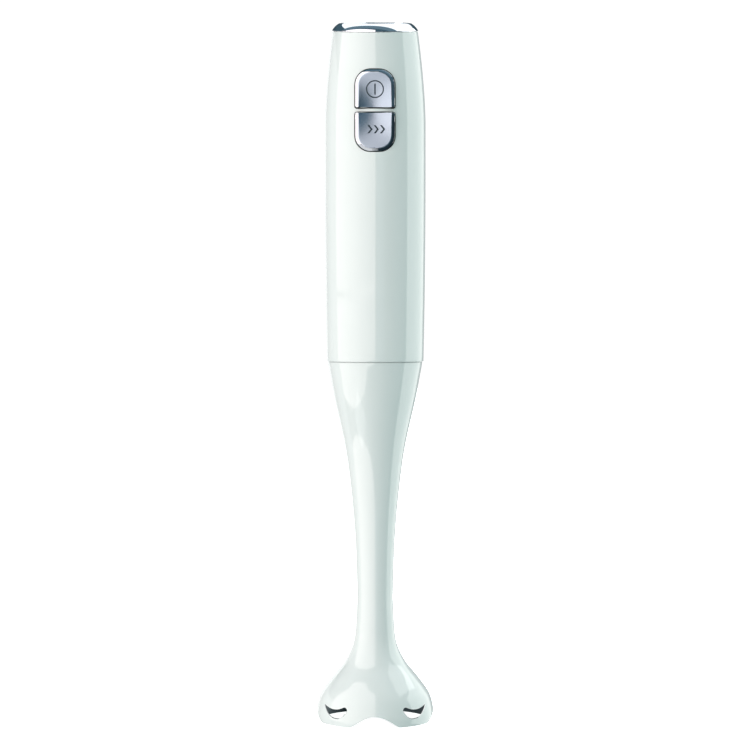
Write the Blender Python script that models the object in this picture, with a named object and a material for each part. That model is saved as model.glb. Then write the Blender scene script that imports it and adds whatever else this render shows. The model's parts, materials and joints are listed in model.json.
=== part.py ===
"""Immersion blender: a motor hand unit on a detachable blending foot.

Metres, +Z up. The origin is on the floor under the middle of the bell, and the keys face -Y.
Everything that turns, turns about the Z axis.
"""
import math

import bmesh
import bpy
from mathutils import Matrix

MM = 0.001

# ---- blending foot ----
BELL_RADIUS = 32.35 * MM        # widest point of the bell
BELL_HEIGHT = 67.6 * MM         # floor to waist
WAIST_RADIUS = 9.8 * MM
FLARE_LENGTH = 130.7 * MM       # waist to mouth
MOUTH_RADIUS = 26.25 * MM
FOOT_WALL = 2.0 * MM
LINER_WALL = 0.9 * MM
BOSS_WALL = 2.4 * MM
BOSS_END = 24.0 * MM            # lower end of the boss that holds the lower bush
SOCKET_FLOOR = 32.0 * MM        # depth of the drive socket below the mouth
FLOOR_THICKNESS = 3.5 * MM
BELL_OPENINGS = 4

# ---- hand unit ----
SEAM_GAP = 0.3 * MM
HANDLE_LENGTH = 181.9 * MM      # seam to cap, on the axis
HANDLE_BASE_RADIUS = 26.8 * MM
GRIP_RADIUS = 27.9 * MM
CAP_RADIUS = 23.6 * MM
SWELL_LENGTH = 100.0 * MM       # the handle widens over this length above the seam
SHOULDER_LENGTH = 51.0 * MM     # the handle narrows over this length below the cap
SHELL_WALL = 2.2 * MM
CAP_TILT = math.radians(7.8)    # the cap slopes down to the front
RING_HEIGHT = 4.5 * MM
RING_TOP_RADIUS = 19.8 * MM
RING_OVERHANG = 0.2 * MM        # ring beyond the handle at its foot
RING_LIP = 1.2 * MM
PLATE_THICKNESS = 1.7 * MM
GLAND_RADIUS = 6.5 * MM
CORD_HOLE_RADIUS = 4.0 * MM

# ---- keys ----
KEY_WIDTH = 21.4 * MM
KEY_HEIGHT = 20.9 * MM
KEY_BAR = 2.5 * MM              # housing bar between the two keys
KEY_CENTRE_DROP = 45.6 * MM    # middle of the bar, below the cap
KEY_OUTER_CORNER = 8.4 * MM
KEY_INNER_CORNER = 1.0 * MM
KEY_GAP = 0.45 * MM
KEY_PROUD = 0.4 * MM
KEY_SLOPE = 1.5 * MM           # width of the sloping edge
KEY_SLOPE_DROP = 1.2 * MM
KEY_TRAVEL = 1.5 * MM
KEY_FLANGE = 1.4 * MM
KEY_FLANGE_REACH = 0.9 * MM     # flange beyond the opening's edge
KEY_FLANGE_GAP = 0.6 * MM       # flange to the shell's inner wall

# ---- bayonet between foot and hand unit ----
SPIGOT_RADIUS = 17.5 * MM
SPIGOT_WALL = 2.2 * MM
SPIGOT_DEPTH = 15.4 * MM
COLLAR_FLANGE = 3.1 * MM
LUGS = 3
LUG_ANGLE = math.radians(16)
LUG_REACH = 1.9 * MM
LUG_HEIGHT = 3.0 * MM
LUG_RISE = 3.0 * MM             # lug above the spigot's lower end
LOCK_ANGLE = math.radians(20)
LOCK_PLAY = math.radians(1.5)

# ---- drive line ----
SHAFT_RADIUS = 3.0 * MM
TUBE_WALL = 0.8 * MM
BUSH_LENGTH = 14.0 * MM
BLADE_RADIUS = 23.0 * MM
BLADE_THICKNESS = 1.2 * MM
BLADE_HUB_RADIUS = 5.2 * MM
BLADE_HEIGHT = 13.0 * MM
BLADE_BEND = 0.28
DOGS = 3
DOG_ANGLE = math.radians(30)
DOG_RADIUS = 10.0 * MM
DOG_HEIGHT = 9.0 * MM
DOG_BASE = 5.0 * MM

# ---- motor ----
BRACKET_THICKNESS = 3.2 * MM
BEARING_RADIUS = 8.0 * MM
BEARING_HEIGHT = 6.0 * MM
DAMPER_WALL = 1.7 * MM
FAN_HEIGHT = 7.0 * MM
FAN_BLADES = 8
VENT_RADIUS = 2.6 * MM           # air holes in the motor brackets
VENT_CIRCLE = 15.5 * MM
YOKE_WALL = 4.5 * MM
SCREW_RADIUS = 1.5 * MM
WINDING_HEIGHT = 6.5 * MM
COIL_OVERHANG = 3.6 * MM
COMMUTATOR_HEIGHT = 12.0 * MM
COMMUTATOR_RADIUS = 8.0 * MM
ARMATURE_SLOTS = 10
AIR_GAP = 0.6 * MM
SHOE_WALL = 1.8 * MM
BRUSH_HEIGHT = 4.0 * MM
BRUSH_WIDTH = 5.0 * MM
BRUSH_LENGTH = 7.0 * MM
HOLDER_WALL = 1.2 * MM

# ---- electronics ----
BOARD_THICKNESS = 1.6 * MM
BOARD_HALF_WIDTH = 13.0 * MM
BOARD_FRONT = -10.0 * MM        # y of the board's component face
BOARD_MARGIN = 6.0 * MM         # board above and below the keys
FRAME_DEPTH = 6.0 * MM
FRAME_EDGE = 2.4 * MM
SWITCH_SIZE = (12.0 * MM, 5.6 * MM, 8.0 * MM)
PLUNGER_RADIUS = 1.3 * MM
KEY_SPRING_RADIUS = 2.4 * MM
CAPACITOR_SIZE = (18.0 * MM, 8.0 * MM, 14.0 * MM)
CHOKE_RADIUS = 3.4 * MM
CHOKE_LENGTH = 14.0 * MM
TERMINAL_SIZE = (16.0 * MM, 7.0 * MM, 8.0 * MM)
WIRE_RADIUS = 0.3 * MM

# ---- clearances ----
FIT = 0.3 * MM                  # between pieces that touch
RUNNING = 0.3 * MM              # between a shaft and its bush
SLIDING = 0.4 * MM              # between a spigot and its socket

SIDES = 28
SMALL_SIDES = 16

# ---- levels that follow from the sizes above ----
FOOT_TOP = BELL_HEIGHT + FLARE_LENGTH
SEAM = FOOT_TOP + SEAM_GAP
CAP = SEAM + HANDLE_LENGTH
BORE_RADIUS = WAIST_RADIUS - FOOT_WALL
TUBE_RADIUS = BORE_RADIUS - FIT
KEY_CENTRE = CAP - KEY_CENTRE_DROP
SPIGOT_END = SEAM - SPIGOT_DEPTH
COLLAR_TOP = SEAM + FIT + COLLAR_FLANGE
SOCKET_LEVEL = FOOT_TOP - SOCKET_FLOOR
DOG_LEVEL = SPIGOT_END - DOG_BASE / 2
LOWER_BRACKET = COLLAR_TOP + FIT
LOWER_BEARING_TOP = LOWER_BRACKET + BRACKET_THICKNESS + BEARING_HEIGHT
FAN_LEVEL = LOWER_BEARING_TOP + 1.5 * MM
STATOR_BOTTOM = FAN_LEVEL + FAN_HEIGHT + COIL_OVERHANG + 1.5 * MM
BOARD_BOTTOM = KEY_CENTRE - KEY_BAR / 2 - KEY_HEIGHT - BOARD_MARGIN
UPPER_BRACKET = BOARD_BOTTOM - FRAME_EDGE - FIT - BRACKET_THICKNESS - BEARING_HEIGHT - 8.0 * MM
COMMUTATOR_LEVEL = UPPER_BRACKET - COMMUTATOR_HEIGHT - 1.0 * MM
STATOR_TOP = COMMUTATOR_LEVEL - WINDING_HEIGHT - 1.5 * MM

# ---- radii that follow ----
MOTOR_BAY = HANDLE_BASE_RADIUS - SHELL_WALL
BRACKET_RADIUS = MOTOR_BAY - FIT - DAMPER_WALL - FIT
STATOR_RADIUS = BRACKET_RADIUS
SCREW_CIRCLE = STATOR_RADIUS - YOKE_WALL / 2
YOKE_BORE = STATOR_RADIUS - YOKE_WALL
COIL_OUTER = YOKE_BORE - FIT
STATOR_BORE = YOKE_BORE - 4.8 * MM
COIL_INNER = STATOR_BORE + SHOE_WALL + FIT
ARMATURE_RADIUS = STATOR_BORE - AIR_GAP


# ---------------------------------------------------------------- outlines
def smooth(points, steps):
    """A Catmull-Rom curve through the points, with this many steps between two of them."""
    ends = [points[0]] + list(points) + [points[-1]]
    curve = []
    for before, start, end, after in zip(ends, ends[1:], ends[2:], ends[3:]):
        for step in range(steps):
            t = step / steps
            curve.append(tuple(
                0.5 * (2 * b + (c - a) * t + (2 * a - 5 * b + 4 * c - d) * t * t
                       + (3 * b - a - 3 * c + d) * t ** 3)
                for a, b, c, d in zip(before, start, end, after)))
    curve.append(tuple(points[-1]))
    return curve


def inset(curve, distance):
    """The curve moved to its left, square to itself, where it runs upwards."""
    moved = []
    for i, (r, z) in enumerate(curve):
        r0, z0 = curve[max(i - 1, 0)]
        r1, z1 = curve[min(i + 1, len(curve) - 1)]
        length = math.hypot(r1 - r0, z1 - z0)
        moved.append((r - (z1 - z0) / length * distance, z + (r1 - r0) / length * distance))
    return moved


def radius_at(curve, z):
    """The radius of an upward curve of (r, z) points at a height."""
    for (r0, z0), (r1, z1) in zip(curve, curve[1:]):
        if z0 <= z <= z1:
            return r0 + (r1 - r0) * (z - z0) / (z1 - z0)
    return curve[-1][0] if z > curve[-1][1] else curve[0][0]


def bell_curve():
    """Rim to waist. Each point is a share of the bell's height and of its flare."""
    shape = [(0.0, 0.962), (0.084, 1.0), (0.214, 0.9), (0.345, 0.63), (0.476, 0.31),
             (0.607, 0.115), (0.738, 0.044), (1.0, 0.0)]
    flare = BELL_RADIUS - WAIST_RADIUS
    return smooth([(WAIST_RADIUS + flare * w, BELL_HEIGHT * h) for h, w in shape], 2)


def flare_curve():
    """Waist to mouth. Each point is a share of the stem's length and of its flare."""
    shape = [(0.0, 0.0), (0.236, 0.061), (0.439, 0.195), (0.643, 0.413), (0.845, 0.766), (1.0, 1.0)]
    flare = MOUTH_RADIUS - WAIST_RADIUS
    return smooth([(WAIST_RADIUS + flare * w, BELL_HEIGHT + FLARE_LENGTH * h) for h, w in shape], 2)


def handle_radius(z):
    """Outer radius of the handle: a slow swell from the seam, a grip, a shoulder to the cap."""
    rise = min((z - SEAM) / SWELL_LENGTH, 1.0)
    swell = (GRIP_RADIUS - HANDLE_BASE_RADIUS) * (1 - (1 - rise) ** 2)
    fall = max((z - CAP + SHOULDER_LENGTH) / SHOULDER_LENGTH, 0.0)
    return HANDLE_BASE_RADIUS + swell - (GRIP_RADIUS - CAP_RADIUS) * fall ** 1.6


def key_flange_half():
    return KEY_WIDTH / 2 + KEY_GAP + KEY_FLANGE_REACH


def key_back():
    """y of the keys' inner ends: the flange clears the shell where the shell is narrowest."""
    top = KEY_CENTRE + KEY_BAR / 2 + KEY_HEIGHT - KEY_OUTER_CORNER
    room = handle_radius(top) - SHELL_WALL
    return -math.sqrt(room ** 2 - key_flange_half() ** 2) + KEY_FLANGE_GAP + KEY_FLANGE


def handle_curve():
    """Seam to just above the cap plane."""
    swell_steps = 5
    shoulder_steps = 8
    shoulder = CAP - SHOULDER_LENGTH
    top = CAP + CAP_RADIUS * math.tan(CAP_TILT) + 2 * MM
    levels = [SEAM + SWELL_LENGTH * i / swell_steps for i in range(swell_steps + 1)]
    levels = [z for z in levels if z < shoulder - 1 * MM]
    levels += [shoulder + (top - shoulder) * i / shoulder_steps for i in range(shoulder_steps + 1)]
    return [(handle_radius(z), z) for z in levels]


def arc(centre, radius, start, end, steps):
    """Points on an arc, both ends included."""
    return [(centre[0] + radius * math.cos(start + (end - start) * i / steps),
             centre[1] + radius * math.sin(start + (end - start) * i / steps))
            for i in range(steps + 1)]


def circle(radius, sides=SMALL_SIDES, centre=(0.0, 0.0)):
    return arc(centre, radius, 0, 2 * math.pi, sides)[:-1]


def wedge(inner, outer, middle, width, steps=6):
    """A sector of a ring, as an outline in a plane."""
    return (arc((0, 0), outer, middle - width / 2, middle + width / 2, steps)
            + arc((0, 0), inner, middle + width / 2, middle - width / 2, steps))


# ---------------------------------------------------------------- solids
def finish(name, colour, roughness, metallic=0.0):
    made = bpy.data.materials.new(name)
    made.use_nodes = True
    shader = made.node_tree.nodes["Principled BSDF"]
    shader.inputs["Base Color"].default_value = (*colour, 1.0)
    shader.inputs["Roughness"].default_value = roughness
    shader.inputs["Metallic"].default_value = metallic
    made.diffuse_color = (*colour, 1.0)
    return made


def add_object(name, bm, colour=None):
    """The bmesh as an object, with its faces pointing out and its round faces smooth."""
    bmesh.ops.remove_doubles(bm, verts=bm.verts, dist=1e-7)
    bmesh.ops.recalc_face_normals(bm, faces=bm.faces)
    mesh = bpy.data.meshes.new(name)
    bm.to_mesh(mesh)
    bm.free()
    if colour:
        mesh.materials.append(colour)
    mesh.shade_smooth()
    mesh.set_sharp_from_angle(angle=math.radians(35))
    made = bpy.data.objects.new(name, mesh)
    bpy.context.scene.collection.objects.link(made)
    return made


def turned(name, outline, colour=None, sides=SIDES):
    """An outline of (r, z) points spun round the Z axis. It is closed unless it meets the axis."""
    bm = bmesh.new()
    points = [bm.verts.new((r, 0, z)) for r, z in outline]
    for start, end in zip(points, points[1:]):
        bm.edges.new((start, end))
    if outline[0][0] > 0 or outline[-1][0] > 0:
        bm.edges.new((points[-1], points[0]))
    bmesh.ops.spin(bm, geom=bm.verts[:] + bm.edges[:], cent=(0, 0, 0), axis=(0, 0, 1),
                   dvec=(0, 0, 0), angle=2 * math.pi, steps=sides, use_merge=True)
    return add_object(name, bm, colour)


def half_turned(name, outline, start, colour):
    """Half a turn of a closed outline, from this azimuth on, a fit short of the parting plane."""
    bm = bmesh.new()
    points = [bm.verts.new((r * math.cos(start), r * math.sin(start), z)) for r, z in outline]
    face = bm.faces.new(points)
    bmesh.ops.spin(bm, geom=[face] + bm.verts[:] + bm.edges[:], cent=(0, 0, 0), axis=(0, 0, 1),
                   dvec=(0, 0, 0), angle=math.pi, steps=SIDES // 2, use_merge=False)
    middle = start + math.pi / 2
    offset = (math.cos(middle) * FIT / 2, math.sin(middle) * FIT / 2, 0)
    bmesh.ops.translate(bm, verts=bm.verts, vec=offset)
    return add_object(name, bm, colour)


def add_prism(bm, outline, start, end, axis):
    """Add an outline, extruded from start to end along Z or Y."""
    def point(u, v, w):
        return (u, v, w) if axis == "Z" else (u, w, v)

    face = bm.faces.new([bm.verts.new(point(u, v, start)) for u, v in outline])
    made = bmesh.ops.extrude_face_region(bm, geom=[face])["geom"]
    moved = [v for v in made if isinstance(v, bmesh.types.BMVert)]
    bmesh.ops.translate(bm, verts=moved, vec=point(0, 0, end - start))


def prism(name, outline, start, end, colour=None, axis="Z"):
    bm = bmesh.new()
    add_prism(bm, outline, start, end, axis)
    return add_object(name, bm, colour)


def prisms(name, outlines, start, end, axis="Z"):
    """Several separate prisms in one cutter."""
    bm = bmesh.new()
    for outline in outlines:
        add_prism(bm, outline, start, end, axis)
    return add_object(name, bm)


def box(name, low, high, colour=None):
    outline = [(low[0], low[1]), (high[0], low[1]), (high[0], high[1]), (low[0], high[1])]
    return prism(name, outline, low[2], high[2], colour)


def washer(name, inner, outer, bottom, top, colour=None, sides=24):
    return turned(name, [(inner, bottom), (outer, bottom), (outer, top), (inner, top)], colour, sides)


def spring(name, centre, radius, start, end, turns, axis, colour):
    """A coil of round wire along an axis, from start to end."""
    curve = bpy.data.curves.new(name, "CURVE")
    curve.dimensions = "3D"
    curve.bevel_depth = WIRE_RADIUS
    curve.bevel_resolution = 0
    curve.use_fill_caps = True
    steps = 6 * turns
    path = curve.splines.new("POLY")
    path.points.add(steps)
    for i, point in enumerate(path.points):
        angle = 2 * math.pi * turns * i / steps
        along = start + (end - start) * i / steps
        u = centre[0] + radius * math.cos(angle)
        v = centre[1] + radius * math.sin(angle)
        place = {"X": (along, u, v), "Y": (u, along, v), "Z": (u, v, along)}[axis]
        point.co = (*place, 1)
    curve.materials.append(colour)
    made = bpy.data.objects.new(name, curve)
    bpy.context.scene.collection.objects.link(made)
    return made


def combine(target, other, operation):
    other.hide_render = True
    other.display_type = "WIRE"
    step = target.modifiers.new(operation.lower() + "_" + other.name, "BOOLEAN")
    step.operation = operation
    step.solver = "EXACT"
    step.object = other


def cut(target, *cutters):
    for cutter in cutters:
        combine(target, cutter, "DIFFERENCE")


def join(target, *pieces):
    for piece in pieces:
        combine(target, piece, "UNION")


def set_origin(made, point):
    """Move an object's origin to a point, and leave its shape where it is."""
    made.data.transform(Matrix.Translation([-c for c in point]))
    made.location = point


def tilt_cap(*pieces):
    """Turn pieces made flat, about the origin, into the cap's plane."""
    for piece in pieces:
        piece.location = (0, 0, CAP)
        piece.rotation_euler = (CAP_TILT, 0, 0)


def body(name, point, parent, nodes):
    """An empty on a body's joint axis, with the body's pieces under it."""
    made = bpy.data.objects.new(name, None)
    made.empty_display_size = 0.01
    bpy.context.scene.collection.objects.link(made)
    made.location = point if parent is None else [p - q for p, q in zip(point, parent["point"])]
    made["point"] = point
    made.parent = parent
    for node in nodes:
        node.parent = made
        node.matrix_parent_inverse = Matrix.Translation([-c for c in point])
    return made


# ---------------------------------------------------------------- blending foot
def window_outline():
    """A smiling slot: a half ellipse below and a sagging edge above."""
    half, bottom, ends, top = 8.3 * MM, 4.0 * MM, 8.6 * MM, 9.4 * MM
    lower = [(-half * math.cos(math.pi * i / 12), ends - (ends - bottom) * math.sin(math.pi * i / 12))
             for i in range(13)]
    upper = [(x * MM, top + 1.4 * MM * (x / 7.3) ** 2) for x in (7.5, 5, 2.5, 0, -2.5, -5, -7.5)]
    return lower + [(8.2 * MM, 10.2 * MM)] + upper + [(-8.2 * MM, 10.2 * MM)]


def arch_outline():
    """A soft arch in the rim, flared where it meets the floor."""
    half, height, steps = 13.5 * MM, 6.2 * MM, 14
    top = []
    for i in range(steps + 1):
        x = half * (2 * i / steps - 1)
        top.append((x, height * (0.5 + 0.5 * math.cos(math.pi * x / half)) ** 0.55))
    return [(half, -2 * MM), (-half, -2 * MM)] + top


def bell_cutter(name, grow=0.0):
    """The arches on the axes and the windows between them, as radial prisms."""
    bm = bmesh.new()
    inner = BELL_RADIUS * 0.7
    outer = BELL_RADIUS + 5 * MM
    for turn in range(2 * BELL_OPENINGS):
        outline = window_outline() if turn % 2 else arch_outline()
        middle = 7 * MM if turn % 2 else 0
        start = len(bm.verts)
        scaled = [(x * (1 + grow), middle + (z - middle) * (1 + grow)) for x, z in outline]
        add_prism(bm, scaled, inner, outer, "Y")
        bm.verts.ensure_lookup_table()
        rotation = Matrix.Rotation(math.pi * turn / BELL_OPENINGS, 4, "Z")
        bmesh.ops.transform(bm, matrix=rotation, verts=bm.verts[start:])
    return add_object(name, bm)


def foot_inner_wall():
    return inset(flare_curve(), FOOT_WALL)


def make_foot_shell(colour):
    """Bell, stem and mouth in one moulding, with a boss for the bush and a floor in the socket."""
    outer = bell_curve() + flare_curve()[1:]
    inner = foot_inner_wall()
    floor_bottom = SOCKET_LEVEL - FLOOR_THICKNESS
    hole = TUBE_RADIUS + FIT
    socket = [p for p in inner if p[1] > SOCKET_LEVEL + 1 * MM]
    socket[-1] = (socket[-1][0], FOOT_TOP)
    stem = [p for p in inner if p[1] < floor_bottom - 1 * MM]
    boss = BORE_RADIUS + BOSS_WALL
    dome = [p for p in inset(bell_curve(), FOOT_WALL) if p[0] > boss + 3 * MM and p[1] > 0.5 * MM]
    rim = [(BELL_RADIUS - 2.6 * MM, 0.0)]
    outline = outer + socket[::-1]
    outline += [(radius_at(inner, SOCKET_LEVEL), SOCKET_LEVEL), (hole, SOCKET_LEVEL)]
    outline += [(hole, floor_bottom), (radius_at(inner, floor_bottom), floor_bottom)]
    outline += stem[::-1]
    outline += [(BORE_RADIUS, BOSS_END), (boss, BOSS_END), (boss, dome[-1][1])]
    outline += dome[::-1] + rim
    shell = turned("foot_shell", outline, colour)
    cut(shell, bell_cutter("bell_openings"))
    return shell


def make_bell_liner(colour):
    """The dark metal guard that lines the bell."""
    skin = inset(bell_curve(), FOOT_WALL + FIT)
    back = inset(bell_curve(), FOOT_WALL + FIT + LINER_WALL)
    smallest = BORE_RADIUS + BOSS_WALL + 4 * MM
    lowest = 1.2 * MM
    outer = [p for p in skin if p[0] > smallest and p[1] > lowest]
    inner = [p for p in back if p[0] > smallest - LINER_WALL and p[1] > lowest]
    inner = inner[:len(outer)]
    liner = turned("bell_liner", outer + inner[::-1], colour)
    cut(liner, bell_cutter("liner_openings", 0.06))
    return liner


def make_bayonet_ring(colour):
    """The socket's ring, with an L-shaped slot for each lug."""
    bottom = SPIGOT_END - 2 * MM
    top = FOOT_TOP - 2.6 * MM
    wall = foot_inner_wall()
    bore = SPIGOT_RADIUS + SLIDING
    levels = [bottom + (top - bottom) * i / 3 for i in range(4)]
    outer = [(radius_at(wall, z) - FIT, z) for z in levels]
    ring = turned("bayonet_ring", outer + [(bore, top), (bore, bottom)], colour)
    low = SPIGOT_END + LUG_RISE - SLIDING
    high = low + LUG_HEIGHT + 2 * SLIDING
    width = LUG_ANGLE + 2 * LOCK_PLAY
    reach = MOUTH_RADIUS
    entries = []
    legs = []
    for lug in range(LUGS):
        middle = math.pi / 2 + 2 * math.pi * lug / LUGS
        entries.append(wedge(bore - 2 * MM, reach, middle, width))
        legs.append(wedge(bore - 2 * MM, reach, middle - LOCK_ANGLE / 2, width + LOCK_ANGLE))
    cut(ring, prisms("slot_entries", entries, low + SLIDING, top + 2 * MM))
    cut(ring, prisms("slot_legs", legs, low, high))
    return ring


def make_shaft_bearings(bronze, steel, rubber, plastic):
    """The tube in the stem, its two bushes, and the seal at the boss."""
    retainer_height = 3.0 * MM
    tube_bottom = BOSS_END + retainer_height + 6 * MM + BUSH_LENGTH
    tube = washer("shaft_tube", TUBE_RADIUS - TUBE_WALL, TUBE_RADIUS, tube_bottom,
                  SOCKET_LEVEL + 2 * MM, steel)
    shaft_hole = SHAFT_RADIUS + RUNNING
    upper = washer("upper_bush", shaft_hole, TUBE_RADIUS - TUBE_WALL - FIT,
                   SOCKET_LEVEL + 1 * MM - BUSH_LENGTH, SOCKET_LEVEL + 1 * MM, bronze)
    bush_bottom = tube_bottom - FIT - BUSH_LENGTH
    lower = washer("lower_bush", shaft_hole, BORE_RADIUS - FIT, bush_bottom,
                   tube_bottom - FIT, bronze)
    seal_outer = BORE_RADIUS - FIT
    lip = shaft_hole + 1.4 * MM
    seal = turned("shaft_seal", [
        (shaft_hole, bush_bottom - 2.4 * MM), (lip, bush_bottom - 4.4 * MM),
        (seal_outer, bush_bottom - 4.4 * MM), (seal_outer, bush_bottom - FIT),
        (shaft_hole, bush_bottom - FIT)], rubber, 24)
    boss = BORE_RADIUS + BOSS_WALL
    retainer = turned("seal_retainer", [
        (shaft_hole, BOSS_END - FIT - 1.8 * MM), (boss, BOSS_END - FIT - 1.8 * MM),
        (boss, BOSS_END - FIT), (BORE_RADIUS - FIT, BOSS_END - FIT),
        (BORE_RADIUS - FIT, BOSS_END + FIT), (shaft_hole, BOSS_END + FIT)], plastic, 24)
    return [tube, upper, lower, seal, retainer]


# ---------------------------------------------------------------- drive shaft and blade
def make_drive_shaft(steel):
    end = BLADE_HEIGHT - 5.5 * MM
    return turned("drive_shaft", [
        (0, end), (SHAFT_RADIUS - 0.5 * MM, end), (SHAFT_RADIUS, end + 0.5 * MM),
        (SHAFT_RADIUS, DOG_LEVEL - FIT), (0, DOG_LEVEL - FIT)], steel, SMALL_SIDES)


def make_shaft_coupling(colour):
    """The driven dog: a disc with teeth that stand up between those of the motor's dog."""
    neck = DOG_RADIUS - 3 * MM
    end = DOG_LEVEL - DOG_BASE - 2 * MM
    hub = turned("shaft_coupling", [
        (SHAFT_RADIUS + FIT, end), (neck, end), (neck, DOG_LEVEL - DOG_BASE),
        (DOG_RADIUS, DOG_LEVEL - DOG_BASE),
        (DOG_RADIUS, DOG_LEVEL), (SHAFT_RADIUS + FIT, DOG_LEVEL)], colour, 24)
    teeth = [wedge(DOG_RADIUS * 0.45, DOG_RADIUS - FIT, 2 * math.pi * dog / DOGS, DOG_ANGLE, 3)
             for dog in range(DOGS)]
    join(hub, prisms("driven_teeth", teeth, DOG_LEVEL - 1 * MM, DOG_LEVEL + DOG_HEIGHT - FIT))
    return hub


def make_drive_coupling(colour):
    """The motor's dog: a cup with teeth that hang down inside it."""
    face = DOG_LEVEL + FIT
    roof = DOG_LEVEL + DOG_HEIGHT + FIT
    top = roof + DOG_BASE
    outer = DOG_RADIUS + 2.0 * MM
    cup = turned("drive_coupling", [
        (SHAFT_RADIUS + FIT, roof), (DOG_RADIUS + FIT, roof), (DOG_RADIUS + FIT, face),
        (outer, face), (outer, top), (SHAFT_RADIUS + FIT, top)], colour, 24)
    teeth = [wedge(DOG_RADIUS * 0.45, outer - 0.5 * MM, math.pi / DOGS + 2 * math.pi * dog / DOGS,
                   DOG_ANGLE, 3) for dog in range(DOGS)]
    join(cup, prisms("driving_teeth", teeth, face + 0.2 * MM, roof + 1 * MM))
    return cup


def make_blade(steel):
    """Two swept wings in one strip, one bent up and one bent down, on a round hub."""
    bm = bmesh.new()
    stations = 16
    loops = []
    for i in range(stations + 1):
        s = BLADE_RADIUS * (2 * i / stations - 1)
        share = abs(s) / BLADE_RADIUS
        sweep = 3.4 * MM * math.sin(math.pi * s / BLADE_RADIUS)
        half = (5.0 - 2.9 * share ** 1.5) * MM
        beyond = max(abs(s) - BLADE_RADIUS * 0.42, 0.0) * BLADE_BEND
        level = BLADE_HEIGHT + (beyond if s > 0 else -beyond * 0.7)
        edge = BLADE_THICKNESS * (1 - 0.55 * share)
        corners = [(-half, 0), (half, 0), (half, edge), (-half, edge)]
        loops.append([bm.verts.new((s, sweep + across, level + up)) for across, up in corners])
    for near, far in zip(loops, loops[1:]):
        for side in range(4):
            other = (side + 1) % 4
            bm.faces.new((near[side], near[other], far[other], far[side]))
    bm.faces.new(loops[0])
    bm.faces.new(loops[-1])
    blade = add_object("blade", bm, steel)
    hub_top = BLADE_HEIGHT + BLADE_THICKNESS + 1.6 * MM
    join(blade, prism("blade_hub", circle(BLADE_HUB_RADIUS, 20), BLADE_HEIGHT - 0.4 * MM, hub_top))
    cut(blade, prism("blade_hole", circle(SHAFT_RADIUS + FIT, SMALL_SIDES), 0, hub_top + 5 * MM))
    return blade


def make_blade_fixings(steel):
    bottom = BLADE_HEIGHT + BLADE_THICKNESS + 1.6 * MM + FIT
    thrust = washer("thrust_washer", SHAFT_RADIUS + FIT, BLADE_HUB_RADIUS + 1 * MM, bottom,
                    bottom + 1.2 * MM, steel)
    top = BLADE_HEIGHT - 0.4 * MM - FIT
    low = BLADE_HEIGHT - 6.2 * MM
    nut = prism("blade_nut", circle(BLADE_HUB_RADIUS - 0.6 * MM, 6), low - 2.2 * MM, top, steel)
    cut(nut, prism("nut_thread", circle(SHAFT_RADIUS + FIT, SMALL_SIDES), low, top + 1 * MM))
    return [thrust, nut]


# ---------------------------------------------------------------- housing
def cap_cutter(name):
    """Everything above the tilted plane that the cap ring sits on."""
    size = 2 * GRIP_RADIUS
    cutter = box(name, (-size, -size, -FIT / 2), (size, size, size))
    tilt_cap(cutter)
    return cutter


def make_shell(name, start, colour):
    outer = handle_curve()
    inner = inset(outer, SHELL_WALL)
    inner[0] = (inner[0][0], outer[0][1])
    inner[-1] = (inner[-1][0], outer[-1][1])
    shell = half_turned(name, outer + inner[::-1], start, colour)
    cut(shell, cap_cutter(name + "_cap_plane"))
    return shell


def key_outline(side, end, bar):
    """A key from the front, about the bar's middle, drawn in from its sides, its end and the bar."""
    half = KEY_WIDTH / 2 - side
    bottom = KEY_BAR / 2 + bar
    top = KEY_BAR / 2 + KEY_HEIGHT - end
    small = max(KEY_INNER_CORNER - bar, 0.2 * MM)
    large = KEY_OUTER_CORNER - side
    return (arc((half - small, bottom + small), small, -math.pi / 2, 0, 2)
            + arc((half - large, top - large), large, 0, math.pi / 2, 6)
            + arc((-half + large, top - large), large, math.pi / 2, math.pi, 6)
            + arc((-half + small, bottom + small), small, math.pi, 1.5 * math.pi, 2))


def key_shape(upper, side=0.0, end=0.0, bar=0.0):
    """The outline at its height: the power key above the bar, the turbo key mirrored below it."""
    sign = 1 if upper else -1
    return [(x, KEY_CENTRE + sign * z) for x, z in key_outline(side, end, bar)]


def make_front_shell(colour):
    shell = make_shell("front_shell", math.pi, colour)
    for name, upper in (("power_opening", True), ("turbo_opening", False)):
        opening = key_shape(upper, -KEY_GAP, -KEY_GAP, -KEY_GAP)
        cut(shell, prism(name, opening, -GRIP_RADIUS - 5 * MM, -GRIP_RADIUS * 0.5, axis="Y"))
    return shell


def make_rear_shell(colour):
    """The back half, with the motor's air slots at the fan."""
    shell = make_shell("rear_shell", 0.0, colour)
    slots, pitch, height, half = 5, 4.0 * MM, 1.8 * MM, 9.0 * MM
    bm = bmesh.new()
    for slot in range(slots):
        low = FAN_LEVEL - 4 * MM + pitch * slot
        add_prism(bm, [(-half, low), (half, low), (half, low + height), (-half, low + height)],
                  GRIP_RADIUS * 0.6, GRIP_RADIUS + 5 * MM, "Y")
    cut(shell, add_object("air_slots", bm))
    return shell


def make_neck_collar(colour):
    """The flange that closes the handle, the spigot below it and the bayonet lugs."""
    bore = SPIGOT_RADIUS - SPIGOT_WALL
    flange = MOTOR_BAY - FIT
    collar = turned("neck_collar", [
        (bore, SPIGOT_END), (SPIGOT_RADIUS, SPIGOT_END), (SPIGOT_RADIUS, SEAM + FIT),
        (flange, SEAM + FIT), (flange, COLLAR_TOP), (bore, COLLAR_TOP)], colour)
    lugs = [wedge(SPIGOT_RADIUS - 0.6 * MM, SPIGOT_RADIUS + LUG_REACH,
                  math.pi / 2 + 2 * math.pi * lug / LUGS, LUG_ANGLE, 3) for lug in range(LUGS)]
    low = SPIGOT_END + LUG_RISE
    join(collar, prisms("lugs", lugs, low, low + LUG_HEIGHT))
    return collar


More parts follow.
